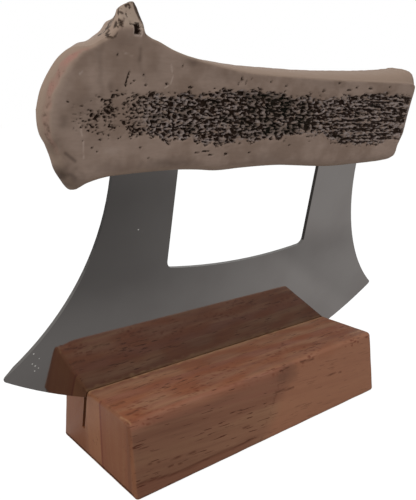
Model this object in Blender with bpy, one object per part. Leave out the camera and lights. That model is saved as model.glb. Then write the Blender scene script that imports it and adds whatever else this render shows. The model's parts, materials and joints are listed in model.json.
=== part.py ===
"""An ulu knife with an antler handle, standing in the leaning saw kerf of a small hardwood block.

The knife is drawn upright in a frame of its own: x runs along the blade, y to the rear, and z up
from the lowest point of the cutting edge. One empty sets that frame into the kerf and leans it.
The block's frame is the world's: x along the block, y to the rear, z up from the middle of its base.
"""
import math

import bmesh
import bpy
import numpy as np

MM = 0.001
DEGREE = math.pi / 180

# Hardwood block
block_length = 102.0 * MM
block_base_width = 41.3 * MM
block_top_width = 35.4 * MM
block_height = 21.5 * MM
block_edge_radius = 1.4 * MM
block_edge_steps = 3

# Saw kerf that holds the blade: its mouth lies behind the block's middle and it leans forward
kerf_depth = 13.0 * MM
kerf_lean = 10.4 * DEGREE
kerf_setback = 4.9 * MM
kerf_clearance = 0.25 * MM

# Where the knife stands
seat_gap = 0.3 * MM
knife_offset = 2.35 * MM
knife_roll = 0.6 * DEGREE

# Blade: a crescent with two legs, ground on its rear face only
blade_thickness = 1.2 * MM
blade_span = 152.6 * MM
edge_radius = 136.5 * MM
edge_steps = 44
grind_width = 4.0 * MM
edge_land = 0.25 * MM
waist_width = 97.95 * MM
leg_outer_radius = 66.6 * MM
leg_outer_steps = 20
tip_rounding = 1.2 * MM

# Finger window between the legs
window_width = 57.8 * MM
window_height = 32.6 * MM
blade_depth = 44.4 * MM
window_floor_radius = 198.0 * MM
window_floor_steps = 12
window_corner_rounding = 2.0 * MM
corner_steps = 4

# Tangs inside the handle, and the epoxy round them
tang_depth = 15.0 * MM
tang_corner_rounding = 2.0 * MM
epoxy_wall = 0.6 * MM
epoxy_recess = 1.3 * MM

# Antler handle: a slab sawn along an antler, with its rim eased all round
handle_length = 133.1 * MM
handle_height = 25.7 * MM
handle_thickness = 17.0 * MM
handle_setback = 4.7 * MM
back_rim_radius = 2.8 * MM
front_rim_radius = 1.2 * MM
low_rim_radius = 3.0 * MM
low_rim_height = 10.0 * MM
low_rim_blend = 6.0 * MM

# The crown end's wider rim in front, its slant to the rear, and the sawn stub of a tine on top
crown_rim_radius = 3.3 * MM
crown_reach = 11.0 * MM
crown_floor = 3.0 * MM
crown_blend = 6.0 * MM
crown_slant = 9.0 * MM
crown_slant_reach = 40.0 * MM
stub_shoulder = 32.2 * MM
stub_height = 5.6 * MM
stub_fall = 3.0 * MM
stub_lean = 2.2 * MM
stub_drift = 1.8 * MM
stub_pinch_share = 0.60

# The natural skin along the top swells up between the sawn faces, most of all at the far end
top_swell = 3.8 * MM
top_end_radius = 0.35 * MM
swell_squareness = 5
top_swell_shares = (
    (0.26, 0.00), (0.40, 0.17), (0.64, 0.22), (0.73, 0.32), (0.81, 0.41), (0.88, 0.52), (0.94, 0.69),
    (0.975, 0.88), (1.00, 1.18))

# The spongy core, laid open along the front: a hollow, and the largest pits in it
core_depth = 0.6 * MM
core_edge = 2.0 * MM
pit_depth = 0.9 * MM
pit_half_length = 3.4 * MM
pit_half_height = 2.0 * MM
# The core's course, as shares: how far along, its lower and upper edge, and how open it is
core_shares = (
    (0.08, 0.37, 0.72, 0.00), (0.17, 0.35, 0.75, 0.30), (0.24, 0.31, 0.77, 0.80), (0.32, 0.28, 0.78, 0.90),
    (0.38, 0.24, 0.83, 1.00), (0.53, 0.30, 0.81, 1.00), (0.65, 0.35, 0.78, 0.90), (0.72, 0.25, 0.82, 0.90),
    (0.84, 0.21, 0.87, 0.95), (1.00, 0.29, 0.84, 0.90))
# The middles of the largest pits, as shares along and up
pit_shares = (
    (0.27, 0.58), (0.345, 0.68), (0.38, 0.46), (0.45, 0.68), (0.475, 0.49), (0.53, 0.60), (0.61, 0.46),
    (0.67, 0.66), (0.735, 0.33), (0.80, 0.59), (0.87, 0.74), (0.90, 0.42), (0.965, 0.60))

# How finely the handle is divided. Its rows stay level up to the outline's own rim
rim_steps = 4
wall_steps = 8
front_rows = 9
back_rows = 3
top_rows = 9
level_height = 29.0 * MM
level_share = 0.78
handle_stations = 62
least_station_step = 0.1 * MM
least_middle_step = 0.9 * MM
handle_sharp_angle = 40 * DEGREE
weld_distance = 0.001 * MM
least_run = 0.001 * MM

# Outline of the slab, as shares of its length from the crown end and of its height above the
# window's top: over the top to the far end, then back along the underside
over_the_top_shares = (
    (0.000, 0.562), (0.005, 0.703), (0.018, 0.858), (0.036, 0.992), (0.057, 1.072), (0.080, 1.103),
    (0.098, 1.156), (0.112, 1.200), (0.122, 1.260), (0.128, 1.312), (0.1345, 1.366), (0.1385, 1.400),
    (0.146, 1.428), (0.157, 1.458), (0.168, 1.478), (0.1740, 1.440), (0.1749, 1.340), (0.1762, 1.245),
    (0.187, 1.213), (0.206, 1.185), (0.235, 1.132), (0.261, 1.099), (0.300, 1.064),
    (0.337, 1.038), (0.374, 1.016), (0.415, 0.999), (0.470, 0.990), (0.560, 0.990), (0.684, 0.994),
    (0.800, 1.006), (0.880, 1.016), (0.940, 1.022), (0.970, 1.020), (0.988, 1.010), (0.997, 0.985),
    (0.999, 0.930))
along_the_underside_shares = (
    (0.9966, 0.780), (0.9959, 0.660), (0.9954, 0.450), (0.9949, 0.200), (0.994, 0.100), (0.9885, 0.035),
    (0.974, -0.003), (0.945, -0.024), (0.885, -0.041), (0.824, -0.050), (0.730, -0.059),
    (0.672, -0.046), (0.620, -0.028), (0.560, -0.010), (0.497, -0.010), (0.440, -0.018),
    (0.376, -0.030), (0.335, -0.012), (0.286, 0.000), (0.218, -0.006), (0.156, -0.020),
    (0.130, -0.030), (0.101, -0.062), (0.088, -0.084), (0.079, -0.108), (0.070, -0.128),
    (0.061, -0.127), (0.053, -0.092), (0.045, -0.038), (0.032, 0.063), (0.0255, 0.155), (0.016, 0.270),
    (0.005, 0.378), (0.001, 0.480))
spline_steps = 8

# What every cut runs past the faces it cuts
overrun = 5.0 * MM

# Finishes: colour, roughness, metallic
mahogany_colour = (0.210, 0.085, 0.045)
mahogany_roughness = 0.55
steel_colour = (0.420, 0.410, 0.400)
steel_roughness = 0.28
antler_colour = (0.260, 0.205, 0.155)
antler_roughness = 0.60
epoxy_colour = (0.330, 0.250, 0.120)
epoxy_roughness = 0.35

# Worked out from the sizes above
edge_rest_height = seat_gap - kerf_depth
kerf_width = blade_thickness + 2 * kerf_clearance
tip_reach = blade_span / 2
tip_height = edge_radius - math.sqrt(edge_radius ** 2 - tip_reach ** 2)
waist_reach = waist_width / 2
window_reach = window_width / 2
leg_arc_centre_x = waist_reach + leg_outer_radius
leg_arc_centre_z = tip_height + math.sqrt(leg_outer_radius ** 2 - (leg_arc_centre_x - tip_reach) ** 2)
handle_floor = blade_depth + window_height
tang_top = handle_floor + tang_depth
bed_clearance = seat_gap + epoxy_wall
knife_place = (0.0, 0.0, -edge_radius)


def clear_scene():
    """Take away whatever objects the scene holds."""
    for thing in list(bpy.data.objects):
        bpy.data.objects.remove(thing, do_unlink=True)


def make_material(name, colour, roughness, metallic=0.0):
    """A plain finish of one colour."""
    material = bpy.data.materials.new(name)
    material.use_nodes = True
    shader = material.node_tree.nodes["Principled BSDF"]
    shader.inputs["Base Color"].default_value = (*colour, 1.0)
    shader.inputs["Roughness"].default_value = roughness
    shader.inputs["Metallic"].default_value = metallic
    return material


def add_object(name, mesh, material=None):
    """Put a mesh into the scene under a name."""
    thing = bpy.data.objects.new(name, mesh)
    bpy.context.scene.collection.objects.link(thing)
    if material:
        mesh.materials.append(material)
    return thing


def finish_mesh(name, form):
    """Turn an edit mesh into a mesh whose faces all point out."""
    bmesh.ops.recalc_face_normals(form, faces=form.faces)
    mesh = bpy.data.meshes.new(name)
    form.to_mesh(mesh)
    form.free()
    return mesh


def box_mesh(name, low, high):
    """A box between two corners."""
    form = bmesh.new()
    bmesh.ops.create_cube(form, size=1)
    for vertex in form.verts:
        for axis in range(3):
            share = vertex.co[axis] + 1 / 2
            vertex.co[axis] = low[axis] + share * (high[axis] - low[axis])
    return finish_mesh(name, form)


def add_cutter(name, mesh, parent=None, location=(0.0, 0.0, 0.0)):
    """A shape that only cuts: shown as wires and left out of the object."""
    cutter = add_object(name, mesh)
    cutter.hide_render = True
    cutter.display_type = "WIRE"
    cutter.parent = parent
    cutter.location = location
    return cutter


def cut(piece, cutter):
    """Take the cutter's shape away from the piece."""
    modifier = piece.modifiers.new("cut " + cutter.name, "BOOLEAN")
    modifier.operation = "DIFFERENCE"
    modifier.solver = "EXACT"
    modifier.object = cutter


def ease_edges(piece, width, steps):
    """Round the sharp edges of a piece."""
    modifier = piece.modifiers.new("eased edges", "BEVEL")
    modifier.width = width
    modifier.segments = steps
    modifier.limit_method = "ANGLE"


def smooth_shading(piece, sharp_angle):
    """Shade the curved faces smooth and keep the real corners sharp."""
    piece.data.shade_smooth()
    piece.data.set_sharp_from_angle(angle=sharp_angle)


def kerf_frame(name, along):
    """An empty at the kerf's mouth whose z axis follows the kerf's lean."""
    carrier = bpy.data.objects.new(name, None)
    bpy.context.scene.collection.objects.link(carrier)
    carrier.location = (along, kerf_setback, block_height)
    carrier.rotation_euler = (kerf_lean, 0.0, 0.0)
    return carrier


def rolled_frame(carrier):
    """An empty at the centre of the cutting edge's arc, about which the knife has rolled a little."""
    centre = bpy.data.objects.new("knife_roll_centre", None)
    bpy.context.scene.collection.objects.link(centre)
    centre.parent = carrier
    centre.location = (0.0, 0.0, edge_rest_height + edge_radius)
    centre.rotation_euler = (0.0, knife_roll, 0.0)
    return centre


def make_block(material):
    """The hardwood block: a bar with sloping flanks, sawn along its length to take the blade."""
    form = bmesh.new()
    profile = (
        (-block_base_width / 2, 0.0), (block_base_width / 2, 0.0),
        (block_top_width / 2, block_height), (-block_top_width / 2, block_height))
    corners = [form.verts.new((-block_length / 2, y, z)) for y, z in profile]
    end_face = form.faces.new(corners)
    swept = bmesh.ops.extrude_face_region(form, geom=[end_face])
    moved = [item for item in swept["geom"] if isinstance(item, bmesh.types.BMVert)]
    bmesh.ops.translate(form, verts=moved, vec=(block_length, 0.0, 0.0))
    block = add_object("stand_block", finish_mesh("stand_block", form), material)
    ease_edges(block, block_edge_radius, block_edge_steps)
    low = (-block_length / 2 - overrun, -kerf_width / 2, -kerf_depth)
    high = (block_length / 2 + overrun, kerf_width / 2, overrun)
    saw = add_cutter("kerf_cutter", box_mesh("kerf_cutter", low, high), kerf_frame("kerf_axis", 0.0))
    cut(block, saw)
    return block


def leg_reach(height):
    """Half the blade's width across the legs at a height above the cutting edge's lowest point."""
    drop = max(leg_arc_centre_z - height, 0.0)
    return leg_arc_centre_x - math.sqrt(leg_outer_radius ** 2 - drop ** 2)


def blade_outline():
    """The right half of the blade's outline, from the cutting edge round to the window's floor.

    The cutting edge is an arc, the leg's outer side an arc that stands upright at the waist, and
    the window's floor a flatter arc. The names mark the corners that are rounded.
    """
    points = []
    tip_angle = math.asin(tip_reach / edge_radius)
    for step in range(edge_steps // 2 + 1):
        angle = tip_angle * step / (edge_steps // 2)
        points.append((edge_radius * math.sin(angle), edge_radius * (1 - math.cos(angle)), ""))
    points[-1] = (tip_reach, tip_height, "tip")
    low_angle = math.asin((leg_arc_centre_z - tip_height) / leg_outer_radius)
    for step in range(1, leg_outer_steps + 1):
        angle = low_angle * (1 - step / leg_outer_steps)
        x = leg_arc_centre_x - leg_outer_radius * math.cos(angle)
        z = leg_arc_centre_z - leg_outer_radius * math.sin(angle)
        points.append((x, z, ""))
    points.append((waist_reach, tang_top, "tang"))
    points.append((window_reach, tang_top, "tang"))
    side_angle = math.asin(window_reach / window_floor_radius)
    for step in range(window_floor_steps // 2 + 1):
        angle = side_angle * (1 - step / (window_floor_steps // 2))
        x = window_floor_radius * math.sin(angle)
        z = blade_depth + window_floor_radius * (1 - math.cos(angle))
        points.append((x, z, "" if step else "window"))
    return points


def make_blade(material, carrier):
    """The steel blade: a flat plate with a hollow window, ground to its edge on the rear face."""
    form = bmesh.new()
    half = blade_outline()
    mirrored = [(-x, z, mark) for x, z, mark in reversed(half[1:-1])]
    outline = half + mirrored
    front = -blade_thickness / 2
    corners = [form.verts.new((x, front, z)) for x, z, mark in outline]
    form.faces.new(corners)
    roundings = (
        ("tip", tip_rounding), ("window", window_corner_rounding), ("tang", tang_corner_rounding))
    for wanted, offset in roundings:
        chosen = [corner for corner, point in zip(corners, outline) if point[2] == wanted]
        bmesh.ops.bevel(form, geom=chosen, offset=offset, segments=corner_steps,
                        profile=1 / 2, affect="VERTICES")
    swept = bmesh.ops.extrude_face_region(form, geom=list(form.faces))
    moved = [item for item in swept["geom"] if isinstance(item, bmesh.types.BMVert)]
    bmesh.ops.translate(form, verts=moved, vec=(0.0, blade_thickness, 0.0))
    blade = add_object("blade", finish_mesh("blade", form), material)
    blade.parent = carrier
    blade.location = knife_place
    grind = add_cutter("grind_cutter", grind_mesh(), carrier, blade.location)
    cut(blade, grind)
    return blade


def grind_mesh():
    """A three-sided bar bent along the cutting edge: what the grinding takes off the rear face."""
    run = grind_width
    fall = blade_thickness - edge_land
    past = overrun / run
    heel = (edge_radius - run - run * past, blade_thickness / 2 + fall * past)
    toe = (edge_radius + run * past, blade_thickness / 2 - fall - fall * past)
    back = (toe[0], heel[1])
    section = (heel, toe, back)
    half_angle = math.asin(tip_reach / edge_radius) + overrun / edge_radius
    form = bmesh.new()
    rings = []
    for step in range(edge_steps + 1):
        angle = half_angle * (2 * step / edge_steps - 1)
        ring = []
        for radius, y in section:
            place = (radius * math.sin(angle), y, edge_radius - radius * math.cos(angle))
            ring.append(form.verts.new(place))
        rings.append(ring)
    for one, other in zip(rings, rings[1:]):
        for corner in range(3):
            following = (corner + 1) % 3
            form.faces.new((one[corner], one[following], other[following], other[corner]))
    form.faces.new(rings[0])
    form.faces.new(rings[-1])
    return finish_mesh("grind_cutter", form)


def smooth_curve(points):
    """A smooth curve through the points: each stretch blends the slopes at its two ends."""
    points = np.array(points)
    before = np.vstack((2 * points[0] - points[1], points[:-1]))
    after = np.vstack((points[1:], 2 * points[-1] - points[-2]))
    gaps_before = np.linalg.norm(points - before, axis=1)[:, None]
    gaps_after = np.linalg.norm(after - points, axis=1)[:, None]
    lean_before = (points - before) / gaps_before
    lean_after = (after - points) / gaps_after
    slopes = (lean_before * gaps_after + lean_after * gaps_before) / (gaps_before + gaps_after)
    share = (np.arange(spline_steps) / spline_steps)[None, :, None]
    start, end = points[:-1, None], points[1:, None]
    span = gaps_after[:-1, None]
    curve = (
        start * (2 * share ** 3 - 3 * share ** 2 + 1)
        + end * (3 * share ** 2 - 2 * share ** 3)
        + slopes[:-1, None] * span * (share ** 3 - 2 * share ** 2 + share)
        + slopes[1:, None] * span * (share ** 3 - share ** 2))
    return np.vstack((curve.reshape(-1, 2), points[-1:]))


def handle_outline():
    """The slab's outline from the crown end to the far end: the upper curve, then the lower.

    Along is measured from the crown end and up from the window's top.
    """
    shares = over_the_top_shares + along_the_underside_shares + over_the_top_shares[:1]
    closed = smooth_curve(np.array(shares) * (handle_length, handle_height))
    start = int(np.argmin(closed[:-1, 0]))
    closed = np.vstack((closed[start:-1], closed[:start + 1]))
    turn = int(np.argmax(closed[:, 0]))
    return closed[:turn + 1], closed[turn:][::-1]


def knife_crown_end():
    """Where the handle's crown end lies along the blade."""
    return -handle_length / 2 - handle_setback


def distance_to_curve(places, curve):
    """The distance from each place to a run of straight stretches."""
    start = curve[:-1][None]
    run = (curve[1:] - curve[:-1])[None]
    offset = places[:, None] - start
    share = np.clip((offset * run).sum(-1) / np.maximum((run ** 2).sum(-1), least_run ** 2), 0, 1)
    return np.linalg.norm(offset - share[..., None] * run, axis=-1).min(axis=1)


def rounded_steps(count):
    """Shares from nought to one that crowd together where a round rim is steepest."""
    return 1 - np.cos(np.arange(count + 1) * math.pi / 2 / count)


def handle_rows(lower, upper, rim_radius, face_rows):
    """Heights across each station: close together in both rims, and level rows on the face between.

    The rows above go on level to the stub's height, and end where they meet the upper rim.
    """
    rim = np.minimum(rim_radius, (upper - lower) / 2)[:, None]
    low_rim = lower[:, None] + rim * rounded_steps(rim_steps)[None]
    high_rim = (upper[:, None] - rim * rounded_steps(rim_steps)[None])[:, ::-1]
    start, end = low_rim[:, -1:], high_rim[:, :1]
    turn = start + level_share * (np.minimum(end, level_height - rim) - start)
    level = start + (np.arange(1, face_rows + 1) / face_rows)[None] * (turn - start)
    highest = (end - turn).max()
    above = np.minimum(turn + (np.arange(1, top_rows) / top_rows)[None] * highest, end)
    return np.hstack((low_rim, level, above, high_rim))


def ease_in(share):
    """A smooth climb from nought to one."""
    share = np.clip(share, 0, 1)
    return share ** 2 * (3 - 2 * share)


def front_rim(along, up):
    """How wide the front's rounded rim is: narrow along the top, wider below and round the crown."""
    crown_share = ease_in((crown_reach - along) / crown_blend) * ease_in((up - crown_floor) / crown_blend)
    low_share = ease_in((low_rim_height - up) / low_rim_blend)
    radius = front_rim_radius + (low_rim_radius - front_rim_radius) * low_share
    return radius + (crown_rim_radius - radius) * crown_share


def rim_fall(distance, radius):
    """How far the rim has fallen back, this far in from the outline: a quarter circle."""
    short = np.maximum(1 - distance / radius, 0.0)
    return radius * (1 - np.sqrt(1 - short ** 2))


def core_fall(along, up):
    """How deep the spongy core lies below the sawn front: a hollow, deeper in its largest pits."""
    knots = np.array(core_shares)
    low = np.interp(along, knots[:, 0] * handle_length, knots[:, 1] * handle_height)
    high = np.interp(along, knots[:, 0] * handle_length, knots[:, 2] * handle_height)
    open_share = np.interp(along, knots[:, 0] * handle_length, knots[:, 3])
    open_share = open_share * ease_in(np.minimum(up - low, high - up) / core_edge)
    pit_share = np.zeros(along.shape)
    for along_share, up_share in pit_shares:
        reach = np.hypot(
            (along - along_share * handle_length) / pit_half_length,
            (up - up_share * handle_height) / pit_half_height)
        pit_share = np.maximum(pit_share, 1 - ease_in(reach))
    return open_share * (core_depth + pit_depth * pit_share)


def top_swell_at(along):
    """How far the top swells up between the two faces, rounded off at the far end."""
    knots = np.array(top_swell_shares)
    swell = top_swell * np.interp(along, knots[:, 0] * handle_length, knots[:, 1])
    past = np.clip((along - along[-1]) / top_end_radius + 1, 0, 1)
    return swell * np.sqrt(1 - past ** 2)


def wall_rows(near, far, height, swell):
    """Depths and heights of the rows that run from the front's edge to the back's edge."""
    share = (1 - np.cos(np.arange(1, wall_steps) * math.pi / wall_steps))[None] / 2
    profile = 1 - np.abs(1 - 2 * share) ** swell_squareness
    return near[:, None] + share * (far - near)[:, None], height[:, None] + swell[:, None] * profile


def shape_crown(along, y, up):
    """Bend the slab's crown end: it runs back at a slant, and the tine's stub is sawn off aslope.

    Behind the wide front rim a slanted end moves each place along the handle by its depth. Above
    the shoulder the stub narrows and leans back to a crest, which falls away to the rear.
    """
    rim_front = handle_thickness / 2 - crown_rim_radius
    back_share = np.maximum(y + rim_front, 0.0) / (handle_thickness / 2 + rim_front)
    nearness = 1 - ease_in(along / crown_slant_reach)
    stub_share = ease_in((up - stub_shoulder) / stub_height)
    along = along + crown_slant * nearness * back_share + stub_drift * stub_share
    y = y * (1 - stub_pinch_share * stub_share) + stub_lean * stub_share
    return along, y, up - stub_fall * stub_share * back_share


def handle_mesh():
    """The slab as rings round its stations: up the front, over the top, down the back and under.

    The front and the back fall back in a quarter circle near the outline, and the front lies
    deeper along the spongy core.
    """
    upper, lower = handle_outline()
    first, last = upper[0, 0], upper[-1, 0]
    rim = crown_rim_radius * rounded_steps(rim_steps)
    middle = np.linspace(first + crown_rim_radius, last - crown_rim_radius, handle_stations)
    knots = np.array(over_the_top_shares)[:, 0] * handle_length
    middle = middle[np.abs(middle[:, None] - knots[None]).min(axis=1) > least_middle_step]
    stations = np.unique(np.concatenate((first + rim, middle, knots, last - rim)))
    stations = stations[(stations >= first) & (stations <= last)]
    stations = np.append(stations[:-1][np.diff(stations) > least_station_step], last)
    top = np.interp(stations, upper[:, 0], upper[:, 1])
    bottom = np.interp(stations, lower[:, 0], lower[:, 1])
    outline = np.vstack((upper, lower[::-1]))
    faces = []
    sides = ((-1, crown_rim_radius, front_rows), (1, back_rim_radius, back_rows))
    for side, rim_radius, face_rows in sides:
        up = handle_rows(bottom, top, rim_radius, face_rows)
        along = np.repeat(stations[:, None], up.shape[1], axis=1)
        places = np.stack((along.ravel(), up.ravel()), axis=1)
        distance = distance_to_curve(places, outline).reshape(along.shape)
        if side < 0:
            fall = rim_fall(distance, front_rim(along, up)) + core_fall(along, up)
        else:
            fall = rim_fall(distance, rim_radius)
        faces.append((side * (handle_thickness / 2 - fall), up))
    front, back = faces
    top_wall = wall_rows(front[0][:, -1], back[0][:, -1], top, top_swell_at(stations))
    under_wall = wall_rows(front[0][:, 0], back[0][:, 0], bottom, np.zeros(len(stations)))
    y = np.hstack((front[0], top_wall[0], back[0][:, ::-1], under_wall[0][:, ::-1]))
    up = np.hstack((front[1], top_wall[1], back[1][:, ::-1], under_wall[1][:, ::-1]))
    along, y, up = shape_crown(np.repeat(stations[:, None], up.shape[1], axis=1), y, up)
    form = bmesh.new()
    places = np.stack((along + knife_crown_end(), y, up + handle_floor), axis=-1)
    rings = [[form.verts.new(place) for place in ring] for ring in places]
    for one, other in zip(rings, rings[1:]):
        for k in range(len(one)):
            form.faces.new((one[k - 1], other[k - 1], other[k], one[k]))
    bmesh.ops.remove_doubles(form, verts=form.verts, dist=weld_distance)
    bmesh.ops.dissolve_degenerate(form, edges=form.edges, dist=weld_distance)
    bmesh.ops.triangulate(form, faces=form.faces, quad_method="SHORT_EDGE")
    return finish_mesh("antler_handle", form)


def tang_bounds(margin):
    """The space round one tang, a margin wider than the steel on every side but the bottom."""
    outer = leg_reach(handle_floor - overrun)
    low = (window_reach - margin, -blade_thickness / 2 - margin)
    high = (outer + margin, blade_thickness / 2 + margin)
    return low, high, tang_top + margin


def tang_box(name, side, margin, bottom):
    """A box round the left or right tang."""
    low, high, top = tang_bounds(margin)
    ends = sorted((side * low[0], side * high[0]))
    return box_mesh(name, (ends[0], low[1], bottom), (ends[1], high[1], top))


def make_handle(material, carrier):
    """The antler slab, with a mortise in its underside for each tang."""
    handle = add_object("antler_handle", handle_mesh(), material)
    handle.parent = carrier
    handle.location = knife_place
    smooth_shading(handle, handle_sharp_angle)
    for label, side in (("left", -1), ("right", 1)):
        name = label + "_mortise_cutter"
        mesh = tang_box(name, side, bed_clearance + seat_gap, handle_floor - overrun)
        cut(handle, add_cutter(name, mesh, carrier, handle.location))
    return handle


def make_epoxy_bed(label, side, material, carrier):
    """The set epoxy that fills a mortise round its tang."""
    name = label + "_tang_epoxy"
    bed = add_object(name, tang_box(name, side, bed_clearance, handle_floor + epoxy_recess), material)
    bed.parent = carrier
    bed.location = knife_place
    socket = label + "_tang_cutter"
    mesh = tang_box(socket, side, seat_gap, handle_floor - overrun)
    cut(bed, add_cutter(socket, mesh, carrier, bed.location))
    return bed


def main():
    """Build the block and the knife that stands in it."""
    clear_scene()
    mahogany = make_material("oiled mahogany", mahogany_colour, mahogany_roughness)
    steel = make_material("satin stainless steel", steel_colour, steel_roughness, 1.0)
    antler = make_material("sanded antler", antler_colour, antler_roughness)
    epoxy = make_material("set epoxy", epoxy_colour, epoxy_roughness)
    make_block(mahogany)
    carrier = rolled_frame(kerf_frame("knife_lift_axis", knife_offset))
    make_blade(steel, carrier)
    make_handle(antler, carrier)
    for label, side in (("left", -1), ("right", 1)):
        make_epoxy_bed(label, side, epoxy, carrier)


main()
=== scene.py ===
"""An ulu knife with an antler handle, standing in the leaning kerf of a small hardwood block.

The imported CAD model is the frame. The handle and the block are redrawn here as fine surfaces in the
same places, and every surface gets its finish. Lengths are metres; u runs along the blade, y to the
rear and h up from the lowest point of the cutting edge, in the knife's own leaning frame.
"""
import json
import math
from functools import partial

import bmesh
import bpy
import numpy as np
from mathutils import Matrix, Vector


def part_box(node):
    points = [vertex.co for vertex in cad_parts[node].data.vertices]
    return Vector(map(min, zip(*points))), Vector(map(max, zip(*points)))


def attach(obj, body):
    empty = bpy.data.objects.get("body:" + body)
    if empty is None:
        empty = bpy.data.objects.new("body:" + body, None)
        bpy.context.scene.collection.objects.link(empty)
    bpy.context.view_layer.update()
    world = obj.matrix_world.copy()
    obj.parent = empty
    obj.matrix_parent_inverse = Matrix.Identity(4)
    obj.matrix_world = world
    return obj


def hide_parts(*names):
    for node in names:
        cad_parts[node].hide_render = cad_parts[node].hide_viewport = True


bl_info = {
    "name": "Ulu knife on its block",
    "version": (1, 0, 0),
    "blender": (4, 5, 0),
    "location": "3D View > Sidebar > Ulu",
    "description": "Dresses the ulu knife: antler handle, polished blade and hardwood block",
    "category": "Add Mesh",
}

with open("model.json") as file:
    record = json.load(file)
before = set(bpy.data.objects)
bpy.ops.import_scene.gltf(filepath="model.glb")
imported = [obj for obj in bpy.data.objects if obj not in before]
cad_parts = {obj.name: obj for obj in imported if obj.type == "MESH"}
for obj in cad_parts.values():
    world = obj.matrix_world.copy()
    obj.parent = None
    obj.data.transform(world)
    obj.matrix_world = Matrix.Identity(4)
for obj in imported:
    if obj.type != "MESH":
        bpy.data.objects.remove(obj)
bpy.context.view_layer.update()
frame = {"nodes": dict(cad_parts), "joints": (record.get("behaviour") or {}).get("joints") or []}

# One millimetre in metres. A noise's scale is given as lumps to a millimetre, divided by MM.
MM = 0.001
lift_axis = frame["joints"][0]["axis"]
block_low, block_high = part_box("stand_block")

# Sizes that the part's source gives the knife's frame: where it stands, and how it leans and rolls
kerf_lean = math.atan2(-lift_axis[1], lift_axis[2])
kerf_setback = 4.9 * MM
edge_rest_height = -12.7 * MM
edge_radius = 136.5 * MM
knife_offset = 2.35 * MM
knife_roll = math.radians(0.6)
window_top = 77.0 * MM
handle_setback = 4.7 * MM
kerf_depth = 13.0 * MM
blade_thickness = 1.2 * MM
kerf_width = 1.7 * MM
mortise_inner = 27.7 * MM
mortise_outer = 50.2 * MM
mortise_half = 1.8 * MM
mortise_roof = 16.2 * MM
block_top_width = 35.4 * MM
block_base_width = 41.3 * MM
# How far outside a mortise's sides the surface starts to climb into it
hair = 0.02 * MM

# The slab's outline, as shares of its length from the crown end and of its height above the
# window's top: over the top to the far end, then back along the underside
over_the_top_shares = (
    (0.0, 0.562), (0.005, 0.703), (0.018, 0.858), (0.036, 0.992), (0.057, 1.072), (0.08, 1.103),
    (0.098, 1.156), (0.112, 1.2), (0.122, 1.26), (0.128, 1.312), (0.1345, 1.366), (0.1385, 1.4),
    (0.146, 1.428), (0.157, 1.458), (0.168, 1.478), (0.174, 1.44), (0.1749, 1.34), (0.1762, 1.245),
    (0.187, 1.213), (0.206, 1.185), (0.235, 1.132), (0.261, 1.099), (0.3, 1.064), (0.337, 1.038),
    (0.374, 1.016), (0.415, 0.999), (0.47, 0.99), (0.56, 0.99), (0.684, 0.994), (0.8, 1.006),
    (0.88, 1.016), (0.94, 1.022), (0.97, 1.02), (0.988, 1.01), (0.997, 0.985), (0.999, 0.93))
along_the_underside_shares = (
    (0.9966, 0.78), (0.9959, 0.66), (0.9954, 0.45), (0.9949, 0.2), (0.994, 0.1), (0.9885, 0.035),
    (0.974, -0.003), (0.945, -0.024), (0.885, -0.041), (0.824, -0.05), (0.73, -0.059), (0.672, -0.046),
    (0.62, -0.028), (0.56, -0.01), (0.497, -0.01), (0.44, -0.018), (0.376, -0.03), (0.335, -0.012),
    (0.286, 0.0), (0.218, -0.006), (0.156, -0.02), (0.13, -0.03), (0.101, -0.062), (0.088, -0.084),
    (0.079, -0.108), (0.07, -0.128), (0.061, -0.127), (0.053, -0.092), (0.045, -0.038), (0.032, 0.063),
    (0.0255, 0.155), (0.016, 0.27), (0.005, 0.378), (0.001, 0.48))
# How far the natural skin along the top swells up between the two faces, as shares of the length and
# of the greatest swell
top_swell_shares = (
    (0.26, 0.0), (0.4, 0.17), (0.64, 0.22), (0.73, 0.32), (0.81, 0.41), (0.88, 0.52), (0.94, 0.69),
    (0.975, 0.88), (1.0, 1.18))
spline_steps = 24
# Widths of the front's rounded rim, round the crown, below and along the top, and of the back's, then
# of the crowded rows along the front's top, in millimetres
crown_rim, under_rim, top_rim, back_rim, top_band = 3.3, 3.0, 0.8, 2.8, 1.1
# How high the crown's slab reaches without the stub, where the surface is divided finely and how
# finely, and how far each end's crowded stations reach, in millimetres
shoulder_height, fine_reach, fine_step, end_reach = 23.0, 42.0, 0.21, 3.0
# The stations in each crowded end and along the rest, then the rows in each rim of a face, on the face
# and above the shoulder, and over the top
end_stations, long_stations, front_rows, back_rows, top_rows = 14, 300, (8, 92, 34), (5, 16, 12), 12
# The greatest swell of the natural skin along the top and how its far end is rounded, in millimetres
swell_height, swell_round = 3.8, 0.35
# How far back the crown's end and the stub's front slant, how the stub leans, and how far along the
# handle the slant fades, in millimetres
crown_slant, stub_shift, stub_lean, stub_drop, slant_fade = 9.0, 1.8, 2.2, 3.0, 40.0

# The block's seam on its front: heights, and where it runs along the block, in millimetres
seam_heights, seam_along = (0.0, 3.3, 11.7, 18.9, 21.5), (-7.0, -4.4, 0.8, 4.9, 6.4)
# The splinter on the lip by the crown end, millimetres along and back
splinter_places = ((-50.7, -13.3), (-50.3, -15.0), (-49.9, -16.8))
# The gap that the CAD model leaves before the blade's front, and the rounding of the kerf's bottom
face_gap, kerf_fillet = 0.06 * MM, 0.2 * MM
# The brown spot on the front: millimetres along and up, and half its length and height
brown_spot = (7.5, 18.2, 4.5, 3.8)
# The chip at the front corner by the crown end, in millimetres: how far it is from the end, back and
# up, its reach each way and its depth
corner_chip, chip_half, chip_depth = (2, -17, 21), (2.5, 1.6, 1.8), 0.9
# The rise of the base's ends: how far in it starts, how high it gets and how high up it is felt
foot_run, foot_rise, foot_fade = 1.9 * MM, 0.8 * MM, 6.0 * MM
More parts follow.
